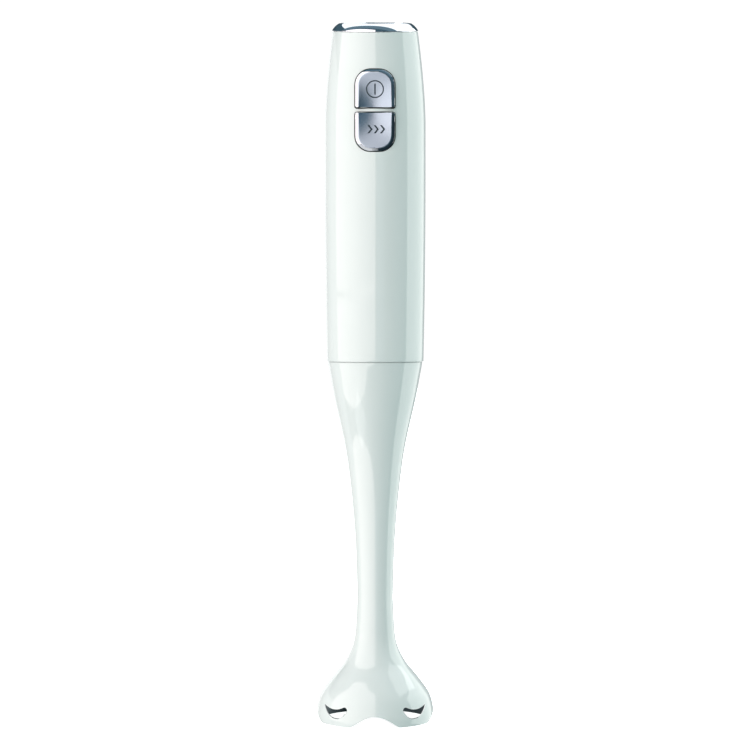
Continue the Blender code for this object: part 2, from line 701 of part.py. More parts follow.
def make_neck_seal(colour):
    """A rubber ring round the spigot, pressed between the handle's flange and the socket's ring."""
    bottom = FOOT_TOP - 2.6 * MM + FIT
    top = SEAM
    radius = (top - bottom) / 2
    centre = (SPIGOT_RADIUS + FIT + radius, bottom + radius)
    return turned("neck_seal", arc(centre, radius, 0, 2 * math.pi, 6)[:-1], colour, 24)


def make_cap(chrome, plastic, rubber):
    """The sloping chrome ring, the plate inside it and the cord's gland."""
    seat = FIT / 2
    plate_top = RING_HEIGHT - FIT
    plate_bottom = plate_top - PLATE_THICKNESS
    plate_radius = RING_TOP_RADIUS - RING_LIP - FIT
    ledge = plate_radius - 1.6 * MM
    skirt = CAP_RADIUS - SHELL_WALL - 0.6 * MM
    ring = turned("top_ring", [
        (CAP_RADIUS + RING_OVERHANG, seat), (RING_TOP_RADIUS + 0.3 * MM, RING_HEIGHT - 0.2 * MM),
        (RING_TOP_RADIUS, RING_HEIGHT), (RING_TOP_RADIUS - RING_LIP, RING_HEIGHT),
        (RING_TOP_RADIUS - RING_LIP, plate_bottom - FIT), (ledge, plate_bottom - FIT),
        (ledge, -4 * MM), (skirt - 0.6 * MM, -4 * MM), (skirt - 0.6 * MM, seat)], chrome)
    plate = washer("top_plate", GLAND_RADIUS + FIT, plate_radius, plate_bottom, plate_top,
                   plastic, SIDES)
    shoulder = GLAND_RADIUS + 1.6 * MM
    gland = turned("cord_gland", [
        (CORD_HOLE_RADIUS, plate_bottom - 5 * MM), (shoulder, plate_bottom - 5 * MM),
        (shoulder, plate_bottom - FIT), (GLAND_RADIUS, plate_bottom - FIT),
        (GLAND_RADIUS, plate_top), (CORD_HOLE_RADIUS, plate_top)], rubber, 24)
    tilt_cap(ring, plate, gland)
    return [ring, plate, gland]


# ---------------------------------------------------------------- motor
def screw_cutter(name, sides=8):
    """The two long screws' holes, front and back."""
    radius = SCREW_RADIUS + FIT
    spots = [circle(radius, sides, (0, y * SCREW_CIRCLE)) for y in (-1, 1)]
    return prisms(name, spots, SEAM, BOARD_BOTTOM)


def make_bracket(name, disc_bottom, seat_up, metal):
    """A round motor bracket with a cup for its bearing, on its upper or its lower side."""
    sign = 1 if seat_up else -1
    disc_top = disc_bottom + BRACKET_THICKNESS
    face, back = (disc_top, disc_bottom) if seat_up else (disc_bottom, disc_top)
    cup = BEARING_RADIUS + FIT
    wall = cup + 1.8 * MM
    rim = face + sign * (BEARING_HEIGHT - 1 * MM)
    seat = back + sign * 1.2 * MM
    bracket = turned(name, [
        (SHAFT_RADIUS + 1.5 * MM, back), (BRACKET_RADIUS, back), (BRACKET_RADIUS, face),
        (wall, face), (wall, rim), (cup, rim), (cup, seat), (SHAFT_RADIUS + 1.5 * MM, seat)], metal)
    vents = [circle(VENT_RADIUS, 8, (VENT_CIRCLE * math.cos(a), VENT_CIRCLE * math.sin(a)))
             for a in [math.radians(45 + 90 * i) for i in range(4)]]
    cut(bracket, prisms(name + "_vents", vents, disc_bottom - 5 * MM, disc_top + 5 * MM))
    cut(bracket, screw_cutter(name + "_screw_holes"))
    return bracket


def make_bearing(name, seat, up, steel):
    """A ball bearing as a ring with a shallow groove in each face."""
    bottom, top = (seat + FIT, seat + FIT + BEARING_HEIGHT) if up else (
        seat - FIT - BEARING_HEIGHT, seat - FIT)
    inner, outer = SHAFT_RADIUS + FIT, BEARING_RADIUS
    g0, g1, depth = inner + 1.4 * MM, outer - 1.4 * MM, 0.6 * MM
    return turned(name, [
        (inner, bottom), (g0, bottom), (g0, bottom + depth), (g1, bottom + depth), (g1, bottom),
        (outer, bottom), (outer, top), (g1, top), (g1, top - depth), (g0, top - depth),
        (g0, top), (inner, top)], steel, SMALL_SIDES)


def make_dampers(rubber):
    """Rubber rings that hold the motor brackets in the handle."""
    made = []
    for name, level in (("damper_lower", LOWER_BRACKET), ("damper_upper", UPPER_BRACKET)):
        inner = BRACKET_RADIUS + FIT
        made.append(washer(name, inner, MOTOR_BAY - FIT, level, level + BRACKET_THICKNESS,
                           rubber, SIDES))
    return made


def make_stator(iron):
    """A laminated ring with a pole in front and one behind."""
    core = washer("stator_core", YOKE_BORE, STATOR_RADIUS, STATOR_BOTTOM, STATOR_TOP, iron, SIDES)
    shoes = [wedge(STATOR_BORE, STATOR_BORE + SHOE_WALL, side, math.radians(104), 10)
             for side in (-math.pi / 2, math.pi / 2)]
    necks = [wedge(STATOR_BORE + SHOE_WALL / 2, YOKE_BORE + 1 * MM, side, math.radians(40), 4)
             for side in (-math.pi / 2, math.pi / 2)]
    join(core, prisms("pole_shoes", shoes, STATOR_BOTTOM + 0.2 * MM, STATOR_TOP - 0.2 * MM))
    join(core, prisms("pole_necks", necks, STATOR_BOTTOM + 0.4 * MM, STATOR_TOP - 0.4 * MM))
    cut(core, screw_cutter("stator_screw_holes"))
    return core


def make_field_coils(copper):
    """A saddle of enamelled wire round each pole."""
    made = []
    for name, side in (("field_coil_front", -math.pi / 2), ("field_coil_rear", math.pi / 2)):
        outline = wedge(COIL_INNER, COIL_OUTER, side, math.radians(100), 10)
        coil = prism(name, outline, STATOR_BOTTOM - COIL_OVERHANG, STATOR_TOP + COIL_OVERHANG, copper)
        window = wedge(COIL_INNER - 2 * MM, COIL_OUTER + 2 * MM, side, math.radians(46), 4)
        cut(coil, prism(name + "_window", window, STATOR_BOTTOM - FIT, STATOR_TOP + FIT))
        made.append(coil)
    return made


def make_motor_screws(steel):
    made = []
    top = UPPER_BRACKET + BRACKET_THICKNESS + 1.5 * MM
    for name, y in (("motor_screw_front", -SCREW_CIRCLE), ("motor_screw_rear", SCREW_CIRCLE)):
        bottom = LOWER_BRACKET + BRACKET_THICKNESS + 1 * MM
        screw = turned(name, [
            (0, bottom), (SCREW_RADIUS, bottom), (SCREW_RADIUS, top - 1 * MM),
            (SCREW_RADIUS * 1.9, top - 1 * MM), (SCREW_RADIUS * 1.9, top + 1 * MM),
            (0, top + 1 * MM)], steel, 10)
        screw.data.transform(Matrix.Translation((0, y, 0)))
        made.append(screw)
    return made


def make_brush_gear(brass, steel, carbon):
    """A brass sleeve, a spring and a carbon block at each side of the commutator."""
    middle = COMMUTATOR_LEVEL + COMMUTATOR_HEIGHT / 2
    fixed, brushes = [], []
    start = COMMUTATOR_RADIUS + 1.2 * MM
    end = math.sqrt((MOTOR_BAY - 1 * MM) ** 2 - (BRUSH_WIDTH / 2 + FIT + HOLDER_WALL) ** 2)
    for side, sign in (("left", -1), ("right", 1)):
        inner_half = (BRUSH_WIDTH / 2 + FIT, BRUSH_HEIGHT / 2 + FIT)
        outer_half = tuple(h + HOLDER_WALL for h in inner_half)

        def block(name, x0, x1, half, colour=None):
            low, high = sorted((sign * x0, sign * x1))
            return box(name, (low, -half[0], middle - half[1]),
                       (high, half[0], middle + half[1]), colour)

        holder = block("brush_holder_" + side, start, end, outer_half, brass)
        cut(holder, block("brush_pocket_" + side, start - 1 * MM, end - HOLDER_WALL, inner_half))
        face = COMMUTATOR_RADIUS + FIT
        brush = block("carbon_brush_" + side, face, face + BRUSH_LENGTH,
                      (BRUSH_WIDTH / 2, BRUSH_HEIGHT / 2), carbon)
        set_origin(brush, (sign * face, 0, middle))
        coil = spring("brush_spring_" + side, (0, middle), BRUSH_HEIGHT / 2 - WIRE_RADIUS - FIT,
                      sign * (face + BRUSH_LENGTH + FIT + WIRE_RADIUS),
                      sign * (end - HOLDER_WALL - FIT - WIRE_RADIUS), 4, "X", steel)
        fixed += [holder, coil]
        brushes.append(brush)
    return fixed, brushes


def make_armature(steel, iron, copper, dark):
    """Everything on the motor's shaft above the drive coupling."""
    top = UPPER_BRACKET + BRACKET_THICKNESS + BEARING_HEIGHT + 1 * MM
    bottom = DOG_LEVEL + DOG_HEIGHT + DOG_BASE / 2
    shaft = turned("armature_shaft", [
        (0, bottom), (SHAFT_RADIUS, bottom),
        (SHAFT_RADIUS, top - 0.5 * MM), (SHAFT_RADIUS - 0.5 * MM, top), (0, top)], steel, SMALL_SIDES)
    hole = SHAFT_RADIUS + FIT
    outline = []
    for slot in range(ARMATURE_SLOTS):
        turn = 2 * math.pi * slot / ARMATURE_SLOTS
        width = 2 * math.pi / ARMATURE_SLOTS
        outline += arc((0, 0), ARMATURE_RADIUS, turn, turn + width * 0.8, 3)
        outline += arc((0, 0), ARMATURE_RADIUS - 3.5 * MM, turn + width * 0.84, turn + width * 0.96, 1)
    core = prism("armature_core", outline, STATOR_BOTTOM, STATOR_TOP, iron)
    cut(core, prism("core_bore", circle(hole), STATOR_BOTTOM - 1 * MM, STATOR_TOP + 1 * MM))
    widest = ARMATURE_RADIUS - 1.2 * MM
    slope = (widest - hole) / 2
    made = [shaft, core]
    lower_height = STATOR_BOTTOM - FAN_LEVEL - FAN_HEIGHT - 2 * FIT
    for name, near, height in (("winding_head_lower", STATOR_BOTTOM - FIT, -lower_height),
                               ("winding_head_upper", STATOR_TOP + FIT, WINDING_HEIGHT)):
        far = near + height
        made.append(turned(name, [
            (hole, near), (widest, near), (widest, near + height * 0.55),
            (widest - slope / 2, near + height * 0.9), (widest - slope, far), (hole, far)], copper, 24))
    made.append(washer("commutator", hole, COMMUTATOR_RADIUS, COMMUTATOR_LEVEL,
                       COMMUTATOR_LEVEL + COMMUTATOR_HEIGHT, copper, 24))
    fan_radius = SCREW_CIRCLE - SCREW_RADIUS - 1.2 * MM
    fan = washer("cooling_fan", hole, fan_radius, FAN_LEVEL + FAN_HEIGHT - 1.3 * MM,
                 FAN_LEVEL + FAN_HEIGHT, dark)
    star = []
    for fin in range(FAN_BLADES):
        turn = 2 * math.pi * fin / FAN_BLADES
        sweep = math.radians(14)
        thin = 0.6 * MM / fan_radius
        star += arc((0, 0), 6.5 * MM, turn - math.radians(16), turn - math.radians(7), 1)
        star += [(fan_radius * math.cos(turn + sweep + d), fan_radius * math.sin(turn + sweep + d))
                 for d in (-thin, thin)]
    fins = prism("fan_fins", star, FAN_LEVEL, FAN_LEVEL + FAN_HEIGHT - 1 * MM)
    join(fan, fins)
    cut(fan, prism("fan_bore", circle(hole), FAN_LEVEL - 1 * MM, FAN_LEVEL + FAN_HEIGHT + 1 * MM))
    made.append(fan)
    return made


# ---------------------------------------------------------------- keys and electronics
def key_face_y(z):
    """The keys' faces are flat across and follow the handle's front line."""
    return -handle_radius(z) - KEY_PROUD


def make_keys(chrome):
    """Two chrome keys with sloping edges, each with a flange that keeps it in the shell."""
    made = []
    inner_end = key_back()
    for name, upper in (("power_key", True), ("turbo_key", False)):
        wall = key_shape(upper)
        face = key_shape(upper, KEY_SLOPE, KEY_SLOPE, 0.2 * MM)
        loops = [[(x, inner_end, z) for x, z in wall],
                 [(x, key_face_y(z) + KEY_SLOPE_DROP, z) for x, z in wall],
                 [(x, key_face_y(z), z) for x, z in face]]
        bm = bmesh.new()
        rings = [[bm.verts.new(point) for point in loop] for loop in loops]
        for near, far in zip(rings, rings[1:]):
            for i, vert in enumerate(near):
                bm.faces.new((vert, near[i - 1], far[i - 1], far[i]))
        bm.faces.new(rings[0])
        bm.faces.new(rings[-1])
        key = add_object(name, bm, chrome)
        middle = key_middle(upper)
        rise = KEY_HEIGHT / 2 - KEY_OUTER_CORNER
        half = key_flange_half()
        join(key, box(name + "_flange", (-half, inner_end - KEY_FLANGE, middle - rise),
                      (half, inner_end - 0.1 * MM, middle + rise)))
        set_origin(key, (0, inner_end, middle))
        made.append(key)
    return made


def key_middle(upper):
    return KEY_CENTRE + (1 if upper else -1) * (KEY_BAR + KEY_HEIGHT) / 2


def board_span():
    height = 2 * (KEY_CENTRE - BOARD_BOTTOM)
    return BOARD_BOTTOM, BOARD_BOTTOM + height


def make_board(green, plastic):
    """The circuit board and the plastic frame that holds it against the keys."""
    bottom, top = board_span()
    board = box("circuit_board", (-BOARD_HALF_WIDTH, BOARD_FRONT, bottom),
                (BOARD_HALF_WIDTH, BOARD_FRONT + BOARD_THICKNESS, top), green)
    front = BOARD_FRONT - 1.5 * MM
    room = handle_radius(top + FRAME_EDGE) - SHELL_WALL - 2 * FIT
    half = math.sqrt(room ** 2 - front ** 2)
    frame = box("board_frame", (-half, front, bottom - FRAME_EDGE),
                (half, front + FRAME_DEPTH, top + FRAME_EDGE), plastic)
    cut(frame, box("board_pocket", (-BOARD_HALF_WIDTH - FIT, front - 1 * MM, bottom - FIT),
                   (BOARD_HALF_WIDTH + FIT, front + FRAME_DEPTH + 1 * MM, top + FIT)))
    return [board, frame]


def make_switches(dark):
    """A push switch behind each key, with a pocket for its plunger."""
    fixed, plungers = [], []
    back = BOARD_FRONT - FIT
    front = back - SWITCH_SIZE[1]
    for name, upper in (("power", True), ("turbo", False)):
        middle = key_middle(upper)
        switch = box(name + "_switch", (-SWITCH_SIZE[0] / 2, front, middle - SWITCH_SIZE[2] / 2),
                     (SWITCH_SIZE[0] / 2, back, middle + SWITCH_SIZE[2] / 2), dark)
        hole = circle(PLUNGER_RADIUS + FIT, 12, (0, middle))
        cut(switch, prism(name + "_switch_hole", hole, front - 1 * MM, back - 1.2 * MM, axis="Y"))
        plunger = prism(name + "_plunger", circle(PLUNGER_RADIUS, 12, (0, middle)),
                        key_back() + FIT, back - 1.2 * MM - KEY_TRAVEL - FIT, dark, "Y")
        set_origin(plunger, (0, key_back(), middle))
        fixed.append(switch)
        plungers.append(plunger)
    return fixed, plungers


def make_key_springs(steel):
    made = []
    for name, upper in (("power_key_spring", True), ("turbo_key_spring", False)):
        level = key_middle(upper) + (1 if upper else -1) * (SWITCH_SIZE[2] / 2 + KEY_SPRING_RADIUS
                                                            + 2 * WIRE_RADIUS + FIT)
        made.append(spring(name, (0, level), KEY_SPRING_RADIUS, key_back() + WIRE_RADIUS + FIT,
                           BOARD_FRONT - WIRE_RADIUS - FIT, 5, "Y", steel))
    return made


def make_components(yellow, plastic, copper):
    """What stands on the back of the board: capacitor, two chokes and the mains terminals."""
    bottom, top = board_span()
    back = BOARD_FRONT + BOARD_THICKNESS + FIT

    def standing(name, size, low, colour):
        half = size[0] / 2
        return box(name, (-half, back, low), (half, back + size[1], low + size[2]), colour)

    made = [standing("suppression_capacitor", CAPACITOR_SIZE, bottom + 4 * MM, yellow)]
    level = bottom + 4 * MM + CAPACITOR_SIZE[2] + 4 * MM
    for name, x in (("choke_left", -6.5 * MM), ("choke_right", 6.5 * MM)):
        outline = circle(CHOKE_RADIUS, 12, (x, back + CHOKE_RADIUS))
        made.append(prism(name, outline, level, level + CHOKE_LENGTH, copper))
    block_top = top - 4 * MM
    block = standing("terminal_block", TERMINAL_SIZE, block_top - TERMINAL_SIZE[2], plastic)
    holes = [circle(1.2 * MM, 8, (x, back + TERMINAL_SIZE[1] / 2)) for x in (-4 * MM, 4 * MM)]
    cut(block, prisms("terminal_holes", holes, block_top - 4 * MM, top))
    made.append(block)
    return made


# ---------------------------------------------------------------- assembly
def clear_scene():
    for old in list(bpy.data.objects):
        bpy.data.objects.remove(old)


def main():
    clear_scene()
    white = finish("white_gloss", (0.86, 0.87, 0.86), 0.12)
    liner_metal = finish("dark_liner", (0.06, 0.07, 0.08), 0.3, 0.8)
    chrome = finish("chrome", (0.7, 0.72, 0.75), 0.06, 1.0)
    grey = finish("grey_plastic", (0.35, 0.36, 0.38), 0.5)
    dark = finish("dark_plastic", (0.03, 0.03, 0.035), 0.5)
    steel = finish("steel", (0.55, 0.56, 0.58), 0.3, 1.0)
    bronze = finish("bronze", (0.5, 0.35, 0.18), 0.4, 1.0)
    brass = finish("brass", (0.7, 0.55, 0.25), 0.35, 1.0)
    copper = finish("copper_wire", (0.6, 0.25, 0.12), 0.35, 0.9)
    iron = finish("laminations", (0.25, 0.25, 0.26), 0.5, 0.9)
    alloy = finish("alloy", (0.6, 0.6, 0.62), 0.45, 1.0)
    rubber = finish("rubber", (0.05, 0.05, 0.055), 0.8)
    carbon = finish("carbon", (0.04, 0.04, 0.045), 0.6)
    green = finish("board_green", (0.04, 0.2, 0.1), 0.45)
    yellow = finish("capacitor_yellow", (0.7, 0.5, 0.08), 0.4)

    foot_pieces = [make_foot_shell(white), make_bell_liner(liner_metal), make_bayonet_ring(grey)]
    foot_pieces += make_shaft_bearings(bronze, steel, rubber, grey)
    shaft_pieces = [make_drive_shaft(steel), make_shaft_coupling(dark), make_blade(steel)]
    shaft_pieces += make_blade_fixings(steel)
    seal_pieces = [make_neck_seal(rubber)]

    hand_pieces = [make_front_shell(white), make_rear_shell(white), make_neck_collar(grey)]
    hand_pieces += make_cap(chrome, white, rubber)
    lower = make_bracket("lower_bracket", LOWER_BRACKET, True, alloy)
    upper = make_bracket("upper_bracket", UPPER_BRACKET, True, alloy)
    hand_pieces += [lower, upper]
    hand_pieces.append(make_bearing("lower_bearing", LOWER_BRACKET + 1.2 * MM, True, steel))
    hand_pieces.append(make_bearing("upper_bearing", UPPER_BRACKET + 1.2 * MM, True, steel))
    hand_pieces += make_dampers(rubber)
    hand_pieces.append(make_stator(iron))
    hand_pieces += make_field_coils(copper)
    hand_pieces += make_motor_screws(steel)
    brush_gear, brushes = make_brush_gear(brass, steel, carbon)
    hand_pieces += brush_gear
    hand_pieces += make_board(green, grey)
    switches, plungers = make_switches(dark)
    hand_pieces += switches
    hand_pieces += make_key_springs(steel)
    hand_pieces += make_components(yellow, grey, copper)
    armature_pieces = make_armature(steel, iron, copper, dark)
    armature_pieces.append(make_drive_coupling(dark))
    keys = make_keys(chrome)

    foot = body("foot_axis", (0, 0, 0), None, foot_pieces)
    body("drive_shaft_axis", (0, 0, BLADE_HEIGHT), foot, shaft_pieces)
    lift = body("hand_unit_lift_axis", (0, 0, FOOT_TOP), foot, seal_pieces)
    hand = body("hand_unit_turn_axis", (0, 0, SEAM), lift, hand_pieces)
    body("armature_axis", (0, 0, STATOR_BOTTOM), hand, armature_pieces)
    for piece in keys + plungers + brushes:
        body(piece.name + "_axis", tuple(piece.location), hand, [piece])


main()
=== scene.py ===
"""The immersion blender's looks: glossy white housing, chrome cap and keys, steel blade."""
import json
import math

import bpy
from mathutils import Matrix, Vector


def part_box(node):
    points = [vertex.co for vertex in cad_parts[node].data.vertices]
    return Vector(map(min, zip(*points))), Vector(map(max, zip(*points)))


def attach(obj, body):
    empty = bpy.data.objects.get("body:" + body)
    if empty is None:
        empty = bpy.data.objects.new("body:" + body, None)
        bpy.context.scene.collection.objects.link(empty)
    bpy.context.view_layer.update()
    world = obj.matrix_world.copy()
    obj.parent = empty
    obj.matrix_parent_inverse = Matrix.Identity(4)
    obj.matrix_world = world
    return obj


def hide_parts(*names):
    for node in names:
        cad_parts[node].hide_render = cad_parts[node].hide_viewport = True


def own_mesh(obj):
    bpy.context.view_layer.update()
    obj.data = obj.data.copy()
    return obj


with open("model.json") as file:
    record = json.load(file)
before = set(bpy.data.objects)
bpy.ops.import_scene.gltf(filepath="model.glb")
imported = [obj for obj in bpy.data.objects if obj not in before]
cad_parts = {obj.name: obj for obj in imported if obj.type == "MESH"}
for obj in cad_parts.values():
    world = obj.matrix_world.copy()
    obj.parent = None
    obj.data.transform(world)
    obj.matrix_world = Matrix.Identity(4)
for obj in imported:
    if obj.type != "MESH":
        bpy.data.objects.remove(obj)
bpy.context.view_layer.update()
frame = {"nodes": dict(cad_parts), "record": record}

MM = 0.001

# ---- the frame's own sizes ----
FOOT_LOW, FOOT_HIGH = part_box("foot_shell")
HANDLE_LOW, HANDLE_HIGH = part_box("front_shell")
FOOT_TOP = FOOT_HIGH.z
SEAM = HANDLE_LOW.z
GRIP_RADIUS = HANDLE_HIGH.x
BELL_HEIGHT = 67.6 * MM
WAIST_RADIUS = 9.8 * MM
BELL_RADIUS = 32.35 * MM
MOUTH_RADIUS = 26.25 * MM
BASE_RADIUS = 26.8 * MM
CAP_RADIUS = 23.6 * MM
CAP_TILT = math.radians(7.8)
RING_HEIGHT = 4.5 * MM
RING_TOP_RADIUS = 19.8 * MM
CAP = SEAM + 181.9 * MM
SWELL = 100.0 * MM
SHOULDER = 51.0 * MM
FOOT_WALL = 2.0 * MM
SHELL_WALL = 2.2 * MM
PARTING = 0.08 * MM
KEY_CENTRE = CAP - 45.6 * MM
KEY_BAR = 2.5 * MM
KEY_WIDTH = 21.4 * MM
KEY_HEIGHT = 20.9 * MM
KEY_GAP = 0.45 * MM
ROUND = 144


# ---------------------------------------------------------------- outlines
def smooth(points, steps):
    """A Catmull-Rom curve through the points."""
    ends = [points[0]] + list(points) + [points[-1]]
    curve = []
    for before, start, end, after in zip(ends, ends[1:], ends[2:], ends[3:]):
        for step in range(steps):
            t = step / steps
            curve.append(tuple(
                0.5 * (2 * b + (c - a) * t + (2 * a - 5 * b + 4 * c - d) * t * t
                       + (3 * b - a - 3 * c + d) * t ** 3)
                for a, b, c, d in zip(before, start, end, after)))
    curve.append(tuple(points[-1]))
    return curve


def inset(curve, distance):
    """An upward curve, moved towards the axis square to itself."""
    moved = []
    for i, (r, z) in enumerate(curve):
        r0, z0 = curve[max(i - 1, 0)]
        r1, z1 = curve[min(i + 1, len(curve) - 1)]
        length = math.hypot(r1 - r0, z1 - z0)
        moved.append((r - (z1 - z0) / length * distance, z + (r1 - r0) / length * distance))
    return moved


def arc(centre, radius, start, end, steps):
    """Points along a part of a circle, both ends with them."""
    return [(centre[0] + radius * math.cos(start + (end - start) * i / steps),
             centre[1] + radius * math.sin(start + (end - start) * i / steps))
            for i in range(steps + 1)]


def bell_curve():
    """The bell from its widest point up to the waist of the stem."""
    shape = [(0.0, 0.984), (0.084, 1.0), (0.214, 0.9), (0.345, 0.63), (0.476, 0.31),
             (0.607, 0.115), (0.738, 0.044), (1.0, 0.0)]
    flare = BELL_RADIUS - WAIST_RADIUS
    return smooth([(WAIST_RADIUS + flare * w, BELL_HEIGHT * h) for h, w in shape], 7)


def stem_curve():
    """The stem from its waist up to the mouth."""
    shape = [(0.0, 0.0), (0.236, 0.061), (0.439, 0.195), (0.643, 0.413), (0.845, 0.766), (1.0, 1.0)]
    flare = MOUTH_RADIUS - WAIST_RADIUS
    length = FOOT_TOP - BELL_HEIGHT
    return smooth([(WAIST_RADIUS + flare * w, BELL_HEIGHT + length * h) for h, w in shape], 8)


def handle_radius(z):
    """The handle swells from the seam to the grip and falls away to the cap."""
    rise = min((z - SEAM) / SWELL, 1.0)
    swell = (GRIP_RADIUS - BASE_RADIUS) * (1 - (1 - rise) ** 2)
    fall = max((z - CAP + SHOULDER) / SHOULDER, 0.0)
    return BASE_RADIUS + swell - (GRIP_RADIUS - CAP_RADIUS) * fall ** 1.6


# ---------------------------------------------------------------- modelling
def deselect():
    bpy.ops.object.select_all(action="DESELECT")


def make_active(piece):
    deselect()
    piece.select_set(True)
    bpy.context.view_layer.objects.active = piece


def trace(name, points):
    """A chain of edges through 3-D points, left open in edit mode."""
    deselect()
    bpy.ops.mesh.primitive_plane_add(size=MM, location=points[0])
    piece = bpy.context.object
    piece.name = name
    bpy.ops.object.transform_apply(location=True, rotation=True, scale=True)
    bpy.ops.object.mode_set(mode="EDIT")
    bpy.ops.mesh.select_all(action="SELECT")
    bpy.ops.mesh.merge(type="CENTER")
    for start, end in zip(points, points[1:]):
        move = tuple(e - s for s, e in zip(start, end))
        bpy.ops.mesh.extrude_vertices_move(TRANSFORM_OT_translate={"value": move})
    return piece


def lathe(name, outline, steps=ROUND, closed=True):
    """An outline of (r, z) points spun about the Z axis."""
    points = [(r, 0.0, z) for r, z in outline]
    piece = trace(name, points + points[:1] if closed else points)
    bpy.ops.mesh.select_all(action="SELECT")
    bpy.ops.mesh.remove_doubles(threshold=1e-6)
    bpy.ops.mesh.select_all(action="SELECT")
    bpy.ops.mesh.spin(steps=steps, angle=2 * math.pi, center=(0, 0, 0), axis=(0, 0, 1))
    bpy.ops.mesh.select_all(action="SELECT")
    bpy.ops.mesh.remove_doubles(threshold=2e-6)
    bpy.ops.mesh.normals_make_consistent(inside=False)
    bpy.ops.object.mode_set(mode="OBJECT")
    return piece


def extruded(name, outline, start, end):
    """An outline of (x, z) points as a prism along Y."""
    points = [(x, start, z) for x, z in outline]
    piece = trace(name, points + points[:1])
    bpy.ops.mesh.select_all(action="SELECT")
    bpy.ops.mesh.remove_doubles(threshold=1e-6)
    bpy.ops.mesh.select_all(action="SELECT")
    bpy.ops.mesh.edge_face_add()
    bpy.ops.mesh.extrude_region_move(TRANSFORM_OT_translate={"value": (0, end - start, 0)})
    bpy.ops.mesh.select_all(action="SELECT")
    bpy.ops.mesh.normals_make_consistent(inside=False)
    bpy.ops.object.mode_set(mode="OBJECT")
    return piece


def bisect(piece, point, normal):
    """Keep what lies behind a plane, and close the cut."""
    make_active(piece)
    bpy.ops.object.mode_set(mode="EDIT")
    bpy.ops.mesh.select_all(action="SELECT")
    bpy.ops.mesh.bisect(plane_co=point, plane_no=normal, use_fill=True, clear_outer=True)
    bpy.ops.mesh.select_all(action="SELECT")
    bpy.ops.mesh.normals_make_consistent(inside=False)
    bpy.ops.object.mode_set(mode="OBJECT")


def cut_out(piece, cutter):
    """Take the cutter's shape out of a piece, and the cutter out of the scene."""
    step = piece.modifiers.new("cut", "BOOLEAN")
    step.operation = "DIFFERENCE"
    step.solver = "EXACT"
    step.object = cutter
    make_active(piece)
    bpy.ops.object.modifier_apply(modifier=step.name)
    bpy.data.objects.remove(cutter)


def soften(piece, angle=30):
    """Shade smooth across every edge that turns less than the angle in degrees."""
    make_active(piece)
    bpy.ops.object.shade_smooth_by_angle(angle=math.radians(angle))


def place(piece, location, tilt):
    """Tilt a piece about the X axis and move it, with its place left in its mesh."""
    piece.location = location
    piece.rotation_euler = (tilt, 0, 0)
    make_active(piece)
    bpy.ops.object.transform_apply(location=True, rotation=True, scale=True)


def dress(piece, finish, body, slot, *nodes):
    """Give a finished piece its finish, the body it rides on and the CAD nodes it stands for."""
    for one in finish if isinstance(finish, (list, tuple)) else [finish]:
        piece.data.materials.append(one)
    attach(piece, body)
    if nodes:
        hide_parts(*nodes)


# ---------------------------------------------------------------- finishes
def surface(name, colour, roughness, metallic=0.0, coat=0.0):
    """A material with its shader's own even values set; returns it, its nodes and its shader."""
    made = bpy.data.materials.new(name)
    made.use_nodes = True
    shader = made.node_tree.nodes["Principled BSDF"]
    shader.inputs["Base Color"].default_value = (*colour, 1.0)
    shader.inputs["Roughness"].default_value = roughness
    shader.inputs["Metallic"].default_value = metallic
    shader.inputs["Coat Weight"].default_value = coat
    shader.inputs["Coat Roughness"].default_value = 0.03
    shader.inputs["IOR"].default_value = 1.5
    return made, made.node_tree, shader


def noise(tree, scale, detail=3.0, stretch=(1.0, 1.0, 1.0)):
    """Noise in the object's own metres."""
    where = tree.nodes.new("ShaderNodeTexCoord")
    mapping = tree.nodes.new("ShaderNodeMapping")
    mapping.inputs["Scale"].default_value = stretch
    made = tree.nodes.new("ShaderNodeTexNoise")
    made.inputs["Scale"].default_value = scale
    made.inputs["Detail"].default_value = detail
    tree.links.new(where.outputs["Object"], mapping.inputs["Vector"])
    tree.links.new(mapping.outputs["Vector"], made.inputs["Vector"])
    return made.outputs["Fac"]


def spread(tree, value, low, high, socket):
    """Run a 0 to 1 value between two numbers into a socket."""
    ramp = tree.nodes.new("ShaderNodeMapRange")
    ramp.inputs["To Min"].default_value = low
    ramp.inputs["To Max"].default_value = high
    tree.links.new(value, ramp.inputs["Value"])
    tree.links.new(ramp.outputs["Result"], socket)


def tint(tree, value, low, high, socket):
    """Run a 0 to 1 value between two colours into a socket."""
    ramp = tree.nodes.new("ShaderNodeValToRGB")
    ramp.color_ramp.elements[0].color = (*low, 1.0)
    ramp.color_ramp.elements[1].color = (*high, 1.0)
    ramp.color_ramp.elements[0].position = 0.35
    ramp.color_ramp.elements[1].position = 0.65
    tree.links.new(value, ramp.inputs["Fac"])
    tree.links.new(ramp.outputs["Color"], socket)


def relief(tree, value, depth, shader):
    """Raise the surface by up to a depth where the value is high."""
    bump = tree.nodes.new("ShaderNodeBump")
    bump.inputs["Strength"].default_value = 1.0
    bump.inputs["Distance"].default_value = depth
    tree.links.new(value, bump.inputs["Height"])
    tree.links.new(bump.outputs["Normal"], shader.inputs["Normal"])


def gloss_white(name):
    """Moulded gloss plastic: a faint unevenness in its tone and a trace of unevenness in its shine."""
    made, tree, shader = surface(name, (0.76, 0.765, 0.755), 0.08, coat=1.0)
    broad = noise(tree, 60.0, 2.0)
    tint(tree, broad, (0.757, 0.762, 0.752), (0.764, 0.768, 0.758), shader.inputs["Base Color"])
    fine = noise(tree, 900.0, 3.0)
    spread(tree, fine, 0.04, 0.08, shader.inputs["Roughness"])
    return made


def polished_chrome(name):
    """Plated metal with a mirror's shine, a little uneven."""
    made, tree, shader = surface(name, (0.86, 0.89, 0.93), 0.04, 1.0)
    fine = noise(tree, 1500.0, 3.0)
    spread(tree, fine, 0.03, 0.07, shader.inputs["Roughness"])
    return made


